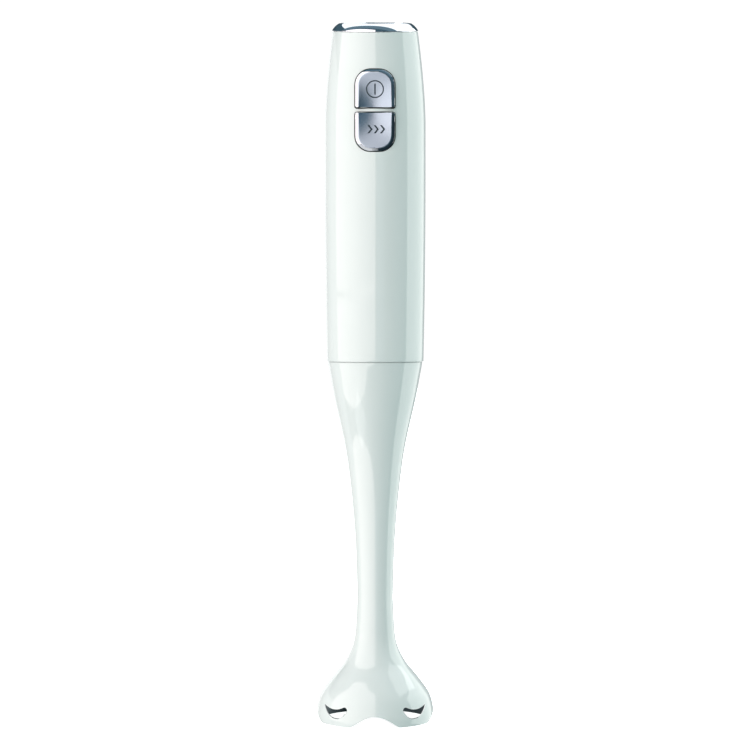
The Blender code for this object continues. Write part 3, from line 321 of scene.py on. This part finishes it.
def satin_chrome(name):
    """The keys' faces: chrome with a very fine vertical brushing."""
    made, tree, shader = surface(name, (0.48, 0.57, 0.66), 0.22, 1.0)
    brushed = noise(tree, 2400.0, 2.0, (1.0, 1.0, 0.05))
    spread(tree, brushed, 0.20, 0.25, shader.inputs["Roughness"])
    return made


def dark_guard(name):
    """Spun metal, darkened, with rings from the spinning."""
    made, tree, shader = surface(name, (0.05, 0.07, 0.08), 0.3, 0.8)
    spun = noise(tree, 700.0, 3.0, (1.0, 1.0, 6.0))
    spread(tree, spun, 0.25, 0.4, shader.inputs["Roughness"])
    return made


def ground_steel(name, colour=(0.60, 0.61, 0.63), scale=900.0, stretch=(0.05, 1.0, 1.0)):
    """Bare metal with fine lines along the way it was ground or turned."""
    made, tree, shader = surface(name, colour, 0.28, 1.0)
    lines = noise(tree, scale, 4.0, stretch)
    spread(tree, lines, 0.18, 0.36, shader.inputs["Roughness"])
    relief(tree, lines, 0.00001, shader)
    return made


def grained_plastic(name, colour, roughness=0.5, grain=1400.0):
    """Matt moulding or ink with a fine speckle in its colour, shine and height."""
    made, tree, shader = surface(name, colour, roughness)
    speckle = noise(tree, grain, 2.0)
    dark = tuple(c * 0.88 for c in colour)
    tint(tree, speckle, dark, colour, shader.inputs["Base Color"])
    spread(tree, speckle, roughness - 0.06, roughness + 0.08, shader.inputs["Roughness"])
    relief(tree, speckle, 0.00002, shader)
    return made


def wound_wire(name, colour=(0.45, 0.16, 0.07)):
    """Enamelled wire laid in turns."""
    made, tree, shader = surface(name, colour, 0.3, 0.7)
    where = tree.nodes.new("ShaderNodeTexCoord")
    wave = tree.nodes.new("ShaderNodeTexWave")
    wave.bands_direction = "Z"
    wave.inputs["Scale"].default_value = 420.0
    wave.inputs["Distortion"].default_value = 1.5
    tree.links.new(where.outputs["Object"], wave.inputs["Vector"])
    tint(tree, wave.outputs["Fac"], tuple(c * 0.45 for c in colour), colour,
         shader.inputs["Base Color"])
    relief(tree, wave.outputs["Fac"], 0.0001, shader)
    return made


def stacked_steel(name):
    """Thin laminations seen edge on."""
    made, tree, shader = surface(name, (0.22, 0.22, 0.23), 0.45, 0.9)
    where = tree.nodes.new("ShaderNodeTexCoord")
    wave = tree.nodes.new("ShaderNodeTexWave")
    wave.bands_direction = "Z"
    wave.inputs["Scale"].default_value = 650.0
    tree.links.new(where.outputs["Object"], wave.inputs["Vector"])
    tint(tree, wave.outputs["Fac"], (0.10, 0.10, 0.11), (0.30, 0.30, 0.31), shader.inputs["Base Color"])
    return made


# ---------------------------------------------------------------- blending foot
def window_outline(side, grow=0.0):
    """A smiling slot beside the front arch, seen from the front: a half ellipse under a sagging edge."""
    shape = [(15.2, 9.4), (15.7, 10.3), (16.5, 10.7), (17.3, 10.45), (18.8, 9.8), (20.6, 9.25), (22.6, 9.1),
             (24.4, 9.4), (26.1, 10.05), (27.25, 10.75), (27.5, 10.5), (27.3, 9.6), (26.8, 8.2), (26.1, 6.9),
             (25.3, 5.85), (24.3, 5.0), (23.1, 4.4), (21.6, 4.1), (20.1, 4.2), (18.7, 4.8), (17.4, 5.8),
             (16.2, 7.3), (15.5, 8.3), (15.2, 9.4)]
    middle_x, middle_z = 21.35, 7.4
    size = 1 + grow
    return [(side * (middle_x + (x - middle_x) * size) * MM, (middle_z + (z - middle_z) * size) * MM)
            for x, z in smooth(shape, 3)[:-1]]


def arch_outline(grow=0.0):
    """A soft arch in the rim, flared where it meets the floor."""
    half, height, steps = 13.5 * MM, 6.2 * MM, 36
    below, size = -4 * MM, 1 + grow
    top = []
    for i in range(steps + 1):
        x = half * (2 * i / steps - 1)
        rise = (0.5 + 0.5 * math.cos(math.pi * x / half)) ** 0.55
        top.append((x * size, height * rise + grow * 6 * MM))
    return [(half * size, below), (-half * size, below)] + top


def cut_bell(piece, grow=0.0):
    """Arches on the axes, and windows cored straight through from the front and the back."""
    outside, inside = BELL_RADIUS + 1 * MM, 4 * MM
    for turn in range(4):
        cutter = extruded("bell_arch", arch_outline(grow), -outside, -BELL_RADIUS * 0.7)
        cutter.rotation_euler = (0, 0, math.pi * turn / 2)
        make_active(cutter)
        bpy.ops.object.transform_apply(location=True, rotation=True, scale=True)
        cut_out(piece, cutter)
    for side in (-1, 1):
        for start, end in ((-outside, -inside), (inside, outside)):
            cut_out(piece, extruded("bell_window", window_outline(side, grow), start, end))


def model_foot():
    """Bell, stem and mouth in one moulding, with a floor under the socket and a boss in the bell."""
    bore = WAIST_RADIUS - FOOT_WALL
    boss, boss_end = bore + 2.4 * MM, 24 * MM
    socket_floor, floor_back = FOOT_TOP - 32 * MM, FOOT_TOP - 32 * MM - 3.5 * MM
    lip, step = FOOT_TOP - 0.45 * MM, FOOT_TOP + 0.2 * MM
    inner = inset(stem_curve(), FOOT_WALL)
    socket = [p for p in inner if socket_floor + 1 * MM < p[1] < FOOT_TOP - 1 * MM]
    stem = [p for p in inner if p[1] < socket_floor - 4.5 * MM]
    dome = [p for p in inset(bell_curve(), FOOT_WALL) if p[0] > boss + 3 * MM and p[1] > 1.2 * MM]
    outer = [p for p in bell_curve() + stem_curve()[1:] if 0.6 * MM < p[1] < lip]
    outline = [(31.5 * MM, 0.0), (31.9 * MM, 0.2 * MM)] + outer
    outline += [(MOUTH_RADIUS - 0.1 * MM, FOOT_TOP - 0.15 * MM), (MOUTH_RADIUS - 0.4 * MM, FOOT_TOP)]
    outline += [(MOUTH_RADIUS - 0.5 * MM, step), (MOUTH_RADIUS - FOOT_WALL + 0.3 * MM, step),
                (MOUTH_RADIUS - FOOT_WALL, FOOT_TOP - 0.3 * MM)]
    outline += socket[::-1]
    outline += [(socket[0][0], socket_floor), (bore, socket_floor), (bore, floor_back),
                (stem[-1][0], floor_back)]
    outline += stem[::-1] + [(bore, boss_end), (boss, boss_end), (boss, dome[-1][1])]
    outline += dome[::-1] + [(BELL_RADIUS - 2.3 * MM, 0.0)]
    foot = lathe("foot_moulding", outline)
    cut_bell(foot)
    soften(foot)
    return foot


def model_liner():
    """The dark guard: a thin shell close under the bell, its openings a little larger."""
    gap, thick, smallest, rim = 0.2 * MM, 0.9 * MM, 14.2 * MM, 0.2 * MM
    skin = inset(bell_curve(), FOOT_WALL + gap)
    back = inset(bell_curve(), FOOT_WALL + gap + thick)
    outer = [p for p in skin if p[0] > smallest and p[1] > rim]
    inner = [p for p in back if p[0] > smallest - thick and p[1] > rim][:len(outer)]
    liner = lathe("bell_guard", outer + inner[::-1])
    cut_bell(liner, 0.12)
    soften(liner)
    return liner


# ---------------------------------------------------------------- handle
def run(start, end, pitch=0.8 * MM):
    """Points along a straight line, without its end."""
    steps = max(1, round(math.dist(start, end) / pitch))
    return [tuple(s + (e - s) * i / steps for s, e in zip(start, end)) for i in range(steps)]


def key_outline(upper, side=0.0, end=0.0, bar=0.0):
    """A key from the front, drawn in from its sides, its round end and the bar."""
    half = KEY_WIDTH / 2
    low, high = KEY_BAR / 2, KEY_BAR / 2 + KEY_HEIGHT
    small, large = 1.0 * MM, 8.4 * MM
    corners = [((half - small, low + small), small, -math.pi / 2),
               ((half - large, high - large), large, 0),
               ((-half + large, high - large), large, math.pi / 2),
               ((-half + small, low + small), small, math.pi)]
    outline = []
    for centre, radius, start in corners:
        turn = arc(centre, radius, start, start + math.pi / 2, 4 if radius == small else 14)
        if outline:
            outline += run(outline[-1], turn[0])[1:]
        outline += turn
    outline += run(outline[-1], outline[0])[1:]
    sign = 1 if upper else -1
    moved = []
    for i, (x, z) in enumerate(outline):
        before, after = outline[i - 1], outline[(i + 1) % len(outline)]
        length = math.dist(before, after)
        across, along = (after[1] - before[1]) / length, -(after[0] - before[0]) / length
        amount = end if along > 0 else bar
        new_x = max(-half + side, min(half - side, x - across * side))
        moved.append((new_x, KEY_CENTRE + sign * (z - along * amount)))
    return moved


def handle_outline():
    """The handle's wall from its lip at the seam to well above the cap, where it is cut later."""
    top, rows = CAP + 6.5 * MM, 60
    outer = [(handle_radius(z), z) for z in (SEAM + (top - SEAM) * i / rows for i in range(rows + 1))]
    inner = inset(outer, SHELL_WALL)
    inner = [(r, min(max(z, SEAM), top)) for r, z in inner]
    lip = [(BASE_RADIUS - SHELL_WALL, SEAM), (BASE_RADIUS - 0.22 * MM, SEAM),
           (BASE_RADIUS - 0.06 * MM, SEAM + 0.06 * MM)]
    outer[0] = (BASE_RADIUS, SEAM + 0.22 * MM)
    return lip + outer + inner[:0:-1]


def key_opening(upper):
    """What is cut out for a key: a deep hole whose lip is rounded along the handle's surface."""
    lip = [(0.6, -0.35), (0.16, -0.01), (0.07, 0.02), (0.02, 0.07), (0.0, 0.18)]
    grown = key_outline(upper, *[-KEY_GAP - 0.6 * MM] * 3)
    loops = [[(x, -GRIP_RADIUS - 5 * MM, z) for x, z in grown]]
    for grow, depth in lip:
        outline = key_outline(upper, *[-KEY_GAP - grow * MM] * 3)
        loops.append([(x, depth * MM - math.sqrt(handle_radius(z) ** 2 - x * x), z) for x, z in outline])
    loops.append([(x, -GRIP_RADIUS / 2, z) for x, z in key_outline(upper, *[-KEY_GAP] * 3)])
    return nested_piece("key_opening", loops)


def paint_opening_shade(front):
    """The faces inside the keys' openings take the front shell's second finish, a painted shade: the white
    walls shown dark as if lying in the gap's shadow.
    """
    half_width = KEY_WIDTH / 2 + 2 * KEY_GAP
    half_height = KEY_BAR / 2 + KEY_HEIGHT + 2 * KEY_GAP
    for face in front.data.polygons:
        x, y, z = face.center
        beside = y < 0 and abs(x) < half_width and abs(z - KEY_CENTRE) < half_height
        if beside and math.hypot(x, y) < handle_radius(z) - 0.12 * MM:
            # painted shade: these wall faces take the dark finish in place of their shadow
            face.material_index = 1


def model_handle():
    """Two half shells under the sloping cap, with the keys' openings in front and air slots behind."""
    front = lathe("handle_front", handle_outline())
    cap_normal = (0, -math.sin(CAP_TILT), math.cos(CAP_TILT))
    bisect(front, (0, 0, CAP - 0.1 * MM), cap_normal)
    make_active(front)
    bpy.ops.object.duplicate()
    rear = bpy.context.object
    rear.name = "handle_rear"
    bisect(front, (0, -PARTING, 0), (0, 1, 0))
    bisect(rear, (0, PARTING, 0), (0, -1, 0))
    for upper in (True, False):
        cut_out(front, key_opening(upper))
    pitch, round_end, half = 4 * MM, 0.9 * MM, 8.1 * MM
    for slot in range(5):
        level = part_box("cooling_fan")[0].z - pitch + pitch * slot + round_end
        outline = (arc((half, level), round_end, -math.pi / 2, math.pi / 2, 6)
                   + arc((-half, level), round_end, math.pi / 2, 1.5 * math.pi, 6))
        cut_out(rear, extruded("air_slot", outline, GRIP_RADIUS * 0.6, GRIP_RADIUS + 5 * MM))
    for shell in (front, rear):
        soften(shell)
    # painted shade on the walls of the keys' openings
    paint_opening_shade(front)
    return front, rear


def key_face_y(x, z):
    """A finger dish across the keys, deepest at the bar between them."""
    away = min(abs(z - KEY_CENTRE) / KEY_HEIGHT, 1.0)
    dish = 1.05 * MM * (1 - away) ** 1.8
    return -handle_radius(z) - 0.3 * MM - dish * (x / (9.4 * MM)) ** 2


def nested_piece(name, loops, bands=()):
    """Skin between loops of equal length, both ends closed, with a finish number for each band."""
    count = len(loops[0])
    faces, finishes = [], []
    for band in range(len(loops) - 1):
        for i in range(count):
            j = (i + 1) % count
            faces.append((band * count + i, band * count + j,
                          (band + 1) * count + j, (band + 1) * count + i))
            finishes.append(bands[band] if bands else 0)
    faces.append(tuple(range(count))[::-1])
    faces.append(tuple((len(loops) - 1) * count + i for i in range(count)))
    finishes += [bands[0], bands[-1]] if bands else [0, 0]
    return finished_mesh(name, [point for loop in loops for point in loop], faces, finishes)


def finished_mesh(name, points, faces, finishes=None):
    """Points and faces as a piece, doubles merged and faces turned outwards."""
    mesh = bpy.data.meshes.new(name)
    mesh.from_pydata(points, [], faces)
    if finishes:
        mesh.polygons.foreach_set("material_index", finishes)
    piece = bpy.data.objects.new(name, mesh)
    bpy.context.scene.collection.objects.link(piece)
    make_active(piece)
    bpy.ops.object.mode_set(mode="EDIT")
    bpy.ops.mesh.select_all(action="SELECT")
    bpy.ops.mesh.remove_doubles(threshold=1e-6)
    bpy.ops.mesh.normals_make_consistent(inside=False)
    bpy.ops.object.mode_set(mode="OBJECT")
    return piece


def model_key(name, upper):
    """Side wall, a rolled edge, the sloping edge and a dished face in nested loops, the side wall in a
    painted shade.
    """
    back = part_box(name)[0].y + 8 * MM
    slope, drop, shy = 1.5 * MM, 0.5 * MM, 0.08 * MM

    def loop(side, end, bar, depth):
        outline = key_outline(upper, side + shy, end + shy, bar + shy)
        return [(x, key_face_y(x, z) + depth, z) for x, z in outline]

    rolled = 0.1 * MM
    edge = loop(slope, slope, 0.2 * MM, 0.0)
    loops = [[(x, back, z) for x, z in key_outline(upper)],
             loop(0.0, 0.0, 0.0, drop + 0.5 * MM),
             loop(0.0, 0.0, 0.0, drop + rolled),
             loop(rolled, rolled, 0.5 * rolled, drop),
             loop(slope - rolled, slope - rolled, 0.17 * MM, 0.05 * MM),
             edge]
    middle = key_middle(upper)
    rings = 16
    for step in range(1, rings):
        share = 1 - step / rings
        ring = [(x * share, middle + (z - middle) * share) for x, _, z in edge]
        loops.append([(x, key_face_y(x, z), z) for x, z in ring])
    # the two side-wall bands take the third finish, a painted shade standing in for the shadowed gap round
    # the key
    key = nested_piece(name + "_chrome", loops, [2, 2, 0, 0, 0] + [1] * (len(loops) - 6))
    soften(key, 28)
    return key


def model_spring(node):
    """A spring's coil, copied from its CAD node, its doubles merged and its shading smoothed."""
    coil = bpy.data.objects.new(node + "_coil", frame["nodes"][node].data.copy())
    coil.data.materials.clear()
    bpy.context.scene.collection.objects.link(coil)
    make_active(coil)
    bpy.ops.object.mode_set(mode="EDIT")
    bpy.ops.mesh.select_all(action="SELECT")
    bpy.ops.mesh.remove_doubles(threshold=1e-6)
    bpy.ops.object.mode_set(mode="OBJECT")
    soften(coil, 40)
    return coil


def inlay(name, outer, inner=None):
    """Printed ink, a few hundredths proud of a key's dished face."""
    top, foot = -0.03 * MM, 0.05 * MM

    def at(points, depth):
        return [(x, key_face_y(x, z) + depth, z) for x, z in points]

    if inner is None:
        loops = [at(outer, foot), at(outer, top)]
        return nested_piece(name, loops)
    count = len(outer)
    loops = [at(outer, foot), at(outer, top), at(inner, top), at(inner, foot)]
    faces = [(k * count + i, k * count + (i + 1) % count,
              (k + 1) % 4 * count + (i + 1) % count, (k + 1) % 4 * count + i)
             for k in range(4) for i in range(count)]
    return finished_mesh(name, [point for loop in loops for point in loop], faces)


def key_middle(upper):
    """The level halfway up a key."""
    return KEY_CENTRE + (1 if upper else -1) * (KEY_BAR + KEY_HEIGHT) / 2


def model_marks():
    """A ring with a stroke on the power key, three chevrons on the turbo key."""
    level = key_middle(True) - 0.4 * MM
    rims = [arc((0, level), radius, 0, 2 * math.pi, 64)[:-1] for radius in (4.85 * MM, 4.2 * MM)]
    half, reach = 0.4 * MM, 3 * MM
    stroke = [(half, level - reach), (half, level + reach),
              (-half, level + reach), (-half, level - reach)]
    marks = [(inlay("power_ring", *rims), "power_key"), (inlay("power_stroke", stroke), "power_key")]
    level = key_middle(False) + 1.3 * MM
    reach, thick, tall, pitch = 1.7 * MM, 1.1 * MM, 2.2 * MM, 3.4 * MM
    for i in range(3):
        x = (i - 1) * pitch - 0.7 * MM
        chevron = [(x, level - tall), (x + thick, level - tall), (x + thick + reach, level),
                   (x + thick, level + tall), (x, level + tall), (x + reach, level)]
        marks.append((inlay("turbo_chevron_%d" % (i + 1), chevron), "turbo_key"))
    return marks


# ---------------------------------------------------------------- cap
def model_cap():
    """A mirror-polished sloping ring, the plate in it and the cord's gland."""
    lip, hole, seat = 1.2 * MM, 16.7 * MM, RING_HEIGHT - 2.3 * MM
    foot = CAP_RADIUS + 0.2 * MM
    cone = [(foot - 0.05 * MM, 0.5 * MM)]
    steps = 18
    for i in range(steps):
        lean = math.radians(30 + 32 * ((i + 0.5) / steps) ** 0.9)
        r, z = cone[-1]
        stride = (foot - RING_TOP_RADIUS - 0.25 * MM) / 0.715 / steps
        cone.append((r - math.sin(lean) * stride, z + math.cos(lean) * stride))
    rise = (RING_HEIGHT - 0.2 * MM - cone[0][1]) / (cone[-1][1] - cone[0][1])
    cone = [(r, cone[0][1] + (z - cone[0][1]) * rise) for r, z in cone]
    outline = [(CAP_RADIUS - 2.6 * MM, 0.15 * MM), (foot - 0.9 * MM, 0.15 * MM), (foot - 0.7 * MM, 0.0)]
    outline += arc((foot - 0.3 * MM, 0.3 * MM), 0.3 * MM, -math.pi / 2, math.pi * 0.2, 6) + cone
    outline += [(RING_TOP_RADIUS - 0.12 * MM, RING_HEIGHT - 0.08 * MM),
                (RING_TOP_RADIUS - 0.3 * MM, RING_HEIGHT),
                (RING_TOP_RADIUS - lip + 0.25 * MM, RING_HEIGHT),
                (RING_TOP_RADIUS - lip, RING_HEIGHT - 0.25 * MM),
                (RING_TOP_RADIUS - lip, seat), (hole, seat), (hole, 0.15 * MM)]
    ring = lathe("cap_ring", outline, 192)
    plate_top = RING_HEIGHT - 0.3 * MM
    edge = RING_TOP_RADIUS - lip - 0.25 * MM
    plate = lathe("cap_plate", [
        (6.7 * MM, plate_top - 1.7 * MM), (edge, plate_top - 1.7 * MM), (edge, plate_top - 0.3 * MM),
        (edge - 0.3 * MM, plate_top), (7.1 * MM, plate_top), (6.7 * MM, plate_top - 0.3 * MM)], 96)
    gland = lathe("cord_inlet", [
        (4.0 * MM, plate_top - 6.7 * MM), (8.1 * MM, plate_top - 6.7 * MM), (8.1 * MM, plate_top - 2.0 * MM),
        (6.45 * MM, plate_top - 2.0 * MM), (6.45 * MM, plate_top - 0.3 * MM), (6.1 * MM, plate_top),
        (4.4 * MM, plate_top), (4.0 * MM, plate_top - 0.4 * MM)], 64)
    for piece in (ring, plate, gland):
        place(piece, (0, 0, CAP), CAP_TILT)
        soften(piece)
    return ring, plate, gland


# ---------------------------------------------------------------- stage
def light_card(name, azimuth, distance, left, right, low, high, radiance, colour):
    """An upright softbox, some degrees round from the front, from left to right along its plane."""
    turn = math.radians(azimuth)
    width, shift = right - left, (left + right) / 2
    data = bpy.data.lights.new(name, "AREA")
    data.shape = "RECTANGLE"
    data.size, data.size_y = width, high - low
    data.energy = radiance * math.pi * width * (high - low)
    data.color = colour
    card = bpy.data.objects.new(name, data)
    bpy.context.scene.collection.objects.link(card)
    card.location = (distance * math.sin(turn) + shift * math.cos(turn),
                     -distance * math.cos(turn) + shift * math.sin(turn), (low + high) / 2)
    card.rotation_euler = (math.pi / 2, 0, turn)
    card.visible_camera = False
    return card


def level_card(name, azimuth, low, high, height, radiance, colour=(1.0, 1.0, 1.0)):
    """A level softbox above or below the stage, between two corners in its own turned plan."""
    turn = math.radians(azimuth)
    width, depth = high[0] - low[0], high[1] - low[1]
    card = light_card(name, 0, 0.0, 0.0, width, 0.0, depth, radiance, colour)
    middle = Vector(((low[0] + high[0]) / 2, (low[1] + high[1]) / 2, height))
    spin = Matrix.Rotation(turn, 4, "Z")
    card.location = spin @ middle
    card.rotation_euler = (0 if height > 0 else math.pi, 0, turn)
    return card


def build_floor():
    """A pale floor that neither shades the blender nor shows in it."""
    deselect()
    bpy.ops.mesh.primitive_plane_add(size=12.0, location=(0, 0, -0.0002))
    floor = bpy.context.object
    floor.name = "floor"
    made, tree, shader = surface("pale_floor", (0.93, 0.93, 0.93), 0.9)
    shader.inputs["Specular IOR Level"].default_value = 0.1
    shader.inputs["Emission Color"].default_value = (1.0, 1.0, 1.0, 1.0)
    shader.inputs["Emission Strength"].default_value = 0.95
    tint(tree, noise(tree, 2.0, 2.0), (0.925, 0.925, 0.925), (0.935, 0.935, 0.935),
         shader.inputs["Base Color"])
    floor.data.materials.append(made)
    floor.visible_diffuse = False
    floor.visible_glossy = False
    floor.visible_shadow = False


def build_room():
    """A pale backdrop, a soft room light, and a dusk that only glossy pieces mirror."""
    world = bpy.data.worlds.new("studio")
    world.use_nodes = True
    bpy.context.scene.world = world
    tree = world.node_tree
    room = tree.nodes["Background"]
    room.inputs["Color"].default_value = (0.26, 0.42, 0.415, 1.0)
    mirrored = tree.nodes.new("ShaderNodeBackground")
    where = tree.nodes.new("ShaderNodeTexCoord")
    split = tree.nodes.new("ShaderNodeSeparateXYZ")
    height = tree.nodes.new("ShaderNodeMapRange")
    height.inputs["From Min"].default_value = 0.1
    height.inputs["From Max"].default_value = 0.5
    dusk = tree.nodes.new("ShaderNodeMix")
    dusk.data_type = "RGBA"
    dusk.inputs["A"].default_value = (0.014, 0.026, 0.034, 1.0)
    dusk.inputs["B"].default_value = (0.06, 0.11, 0.14, 1.0)
    tree.links.new(where.outputs["Generated"], split.inputs["Vector"])
    tree.links.new(split.outputs["Z"], height.inputs["Value"])
    tree.links.new(height.outputs["Result"], dusk.inputs["Factor"])
    tree.links.new(dusk.outputs["Result"], mirrored.inputs["Color"])
    backdrop = tree.nodes.new("ShaderNodeBackground")
    backdrop.inputs["Color"].default_value = (1.0, 1.0, 1.0, 1.0)
    backdrop.inputs["Strength"].default_value = 1.05
    rays = tree.nodes.new("ShaderNodeLightPath")
    lit = room.outputs["Background"]
    for ray, seen in (("Is Glossy Ray", mirrored), ("Is Camera Ray", backdrop)):
        mix = tree.nodes.new("ShaderNodeMixShader")
        tree.links.new(rays.outputs[ray], mix.inputs["Fac"])
        tree.links.new(lit, mix.inputs[1])
        tree.links.new(seen.outputs["Background"], mix.inputs[2])
        lit = mix.outputs["Shader"]
    tree.links.new(lit, tree.nodes["World Output"].inputs["Surface"])
    bpy.context.scene.view_settings.view_transform = "Standard"


def build_camera():
    camera_data = bpy.data.cameras.new("camera")
    camera = bpy.data.objects.new("camera", camera_data)
    bpy.context.scene.collection.objects.link(camera)
    camera_data.sensor_width = 36.0
    camera_data.lens = 117.2
    camera.location = (0, -1.35, 0.225)
    camera.rotation_euler = (Vector((0, 0, 0.191)) - camera.location).to_track_quat("-Z", "Y").to_euler()
    bpy.context.scene.camera = camera


def light_blender():
    """Softboxes: warm on the left, cool on the right and behind, and two level ones overhead."""
    warm = (1.0, 0.887, 0.867)
    light_card("left_card", -32, 2.6, -6.4, 1.69, 0.19, 5.35, 1.5, warm)
    light_card("left_low_card", -50, 2.6, -3.0, 3.2, -1.0, 0.19, 1.5, warm)
    light_card("left_rear_card", -125, 2.6, -1.2, 1.2, -1.6, 0.95, 0.5, (1.0, 1.0, 1.0))
    light_card("back_left_card", -166, 2.6, -0.8, 0.8, -1.6, 0.95, 1.0, (1.0, 1.0, 1.0))
    light_card("right_card", 112, 2.4, -1.6, 1.7, -1.2, 2.0, 1.4, (1.0, 1.0, 0.97))
    light_card("back_right_card", 166, 2.6, -0.8, 0.8, -1.6, 0.95, 0.45, (0.97, 1.0, 0.99))
    light_card("key_fill_card", 12, 2.6, -0.4, 0.4, -0.6, 1.0, 0.2, (0.5, 0.8, 1.0))
    level_card("top_card", -22, (-2.6, 0.1), (3.0, 4.4), 3.0, 1.15)
    level_card("dim_top_card", -22, (-3.0, -1.0), (3.0, 0.1), 3.05, 0.12, (0.6, 0.83, 1.0))
    level_card("low_card", 0, (-2.4, -1.9), (0.0, 0.2), -1.0, 0.7)


# ---------------------------------------------------------------- build
white = gloss_white("gloss_white")
chrome = polished_chrome("polished_chrome")
satin = satin_chrome("satin_chrome")
guard = dark_guard("dark_guard")
ink = grained_plastic("key_ink", (0.012, 0.03, 0.042), 0.6)
rubber = grained_plastic("black_rubber", (0.03, 0.03, 0.032), 0.75, 900.0)
steel = ground_steel("ground_steel")
turned_steel = ground_steel("turned_steel", stretch=(1.0, 1.0, 0.05))
grey = grained_plastic("grey_moulding", (0.36, 0.38, 0.39), 0.45)
# dark moulding for the dark parts, also used as painted shade in the gaps round the keys
dark = grained_plastic("dark_moulding_and_painted_shade", (0.03, 0.03, 0.035), 0.5)
bronze = ground_steel("sintered_bronze", (0.45, 0.28, 0.12), 1200.0, (1, 1, 1))
brass = ground_steel("drawn_brass", (0.62, 0.46, 0.18), 900.0, (0.05, 1, 1))
alloy = ground_steel("cast_alloy", (0.55, 0.56, 0.58), 700.0, (1, 1, 1))
wire = wound_wire("enamelled_wire")
laminations = stacked_steel("laminations")
carbon = grained_plastic("pressed_carbon", (0.03, 0.03, 0.033), 0.6, 1800.0)
board = grained_plastic("circuit_board_green", (0.02, 0.13, 0.06), 0.4, 500.0)
capacitor = grained_plastic("capacitor_case", (0.55, 0.40, 0.05), 0.35, 1200.0)

SLOT_FINISH = {
    "white_shell": white, "guard": guard, "chrome": chrome, "grey_plastic": grey, "dark_plastic": dark,
    "steel": turned_steel, "bronze": bronze, "brass": brass, "copper": wire, "laminations": laminations,
    "alloy": alloy, "rubber": rubber, "carbon": carbon, "board": board, "capacitor": capacitor,
}
slot_of = {entry["node"]: entry["material_slot"] for entry in frame["record"]["subparts"]}
for node, shown in frame["nodes"].items():
    shown.data.materials.clear()
    shown.data.materials.append(SLOT_FINISH[slot_of[node]])
frame["nodes"]["blade"].data.materials[0] = steel

dress(model_foot(), white, "foot", "white_shell", "foot_shell")
dress(model_liner(), guard, "foot", "guard", "bell_liner")
handle_front, handle_rear = model_handle()
# the front shell's second finish is painted shade inside the keys' openings
dress(handle_front, [white, dark], "hand_unit", "white_shell", "front_shell")
dress(handle_rear, white, "hand_unit", "white_shell", "rear_shell")
cap_ring, cap_plate, cord_inlet = model_cap()
dress(cap_ring, chrome, "hand_unit", "chrome", "top_ring")
dress(cap_plate, white, "hand_unit", "white_shell", "top_plate")
dress(cord_inlet, rubber, "hand_unit", "rubber", "cord_gland")
# each key's third finish is painted shade on its side wall
for key, upper in (("power_key", True), ("turbo_key", False)):
    dress(model_key(key, upper), [chrome, satin, dark], key, "chrome", key)
for mark, key in model_marks():
    dress(mark, ink, key, "dark_plastic")

for joint in frame["record"]["behaviour"]["joints"]:
    for coil in joint.get("deforming_nodes", []):
        node, letter = coil["node"], coil["mode"][-1]
        spring = model_spring(node)
        dress(spring, turned_steel, "hand_unit", slot_of[node], node)
        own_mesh(spring)

build_floor()
build_room()
build_camera()
light_blender()
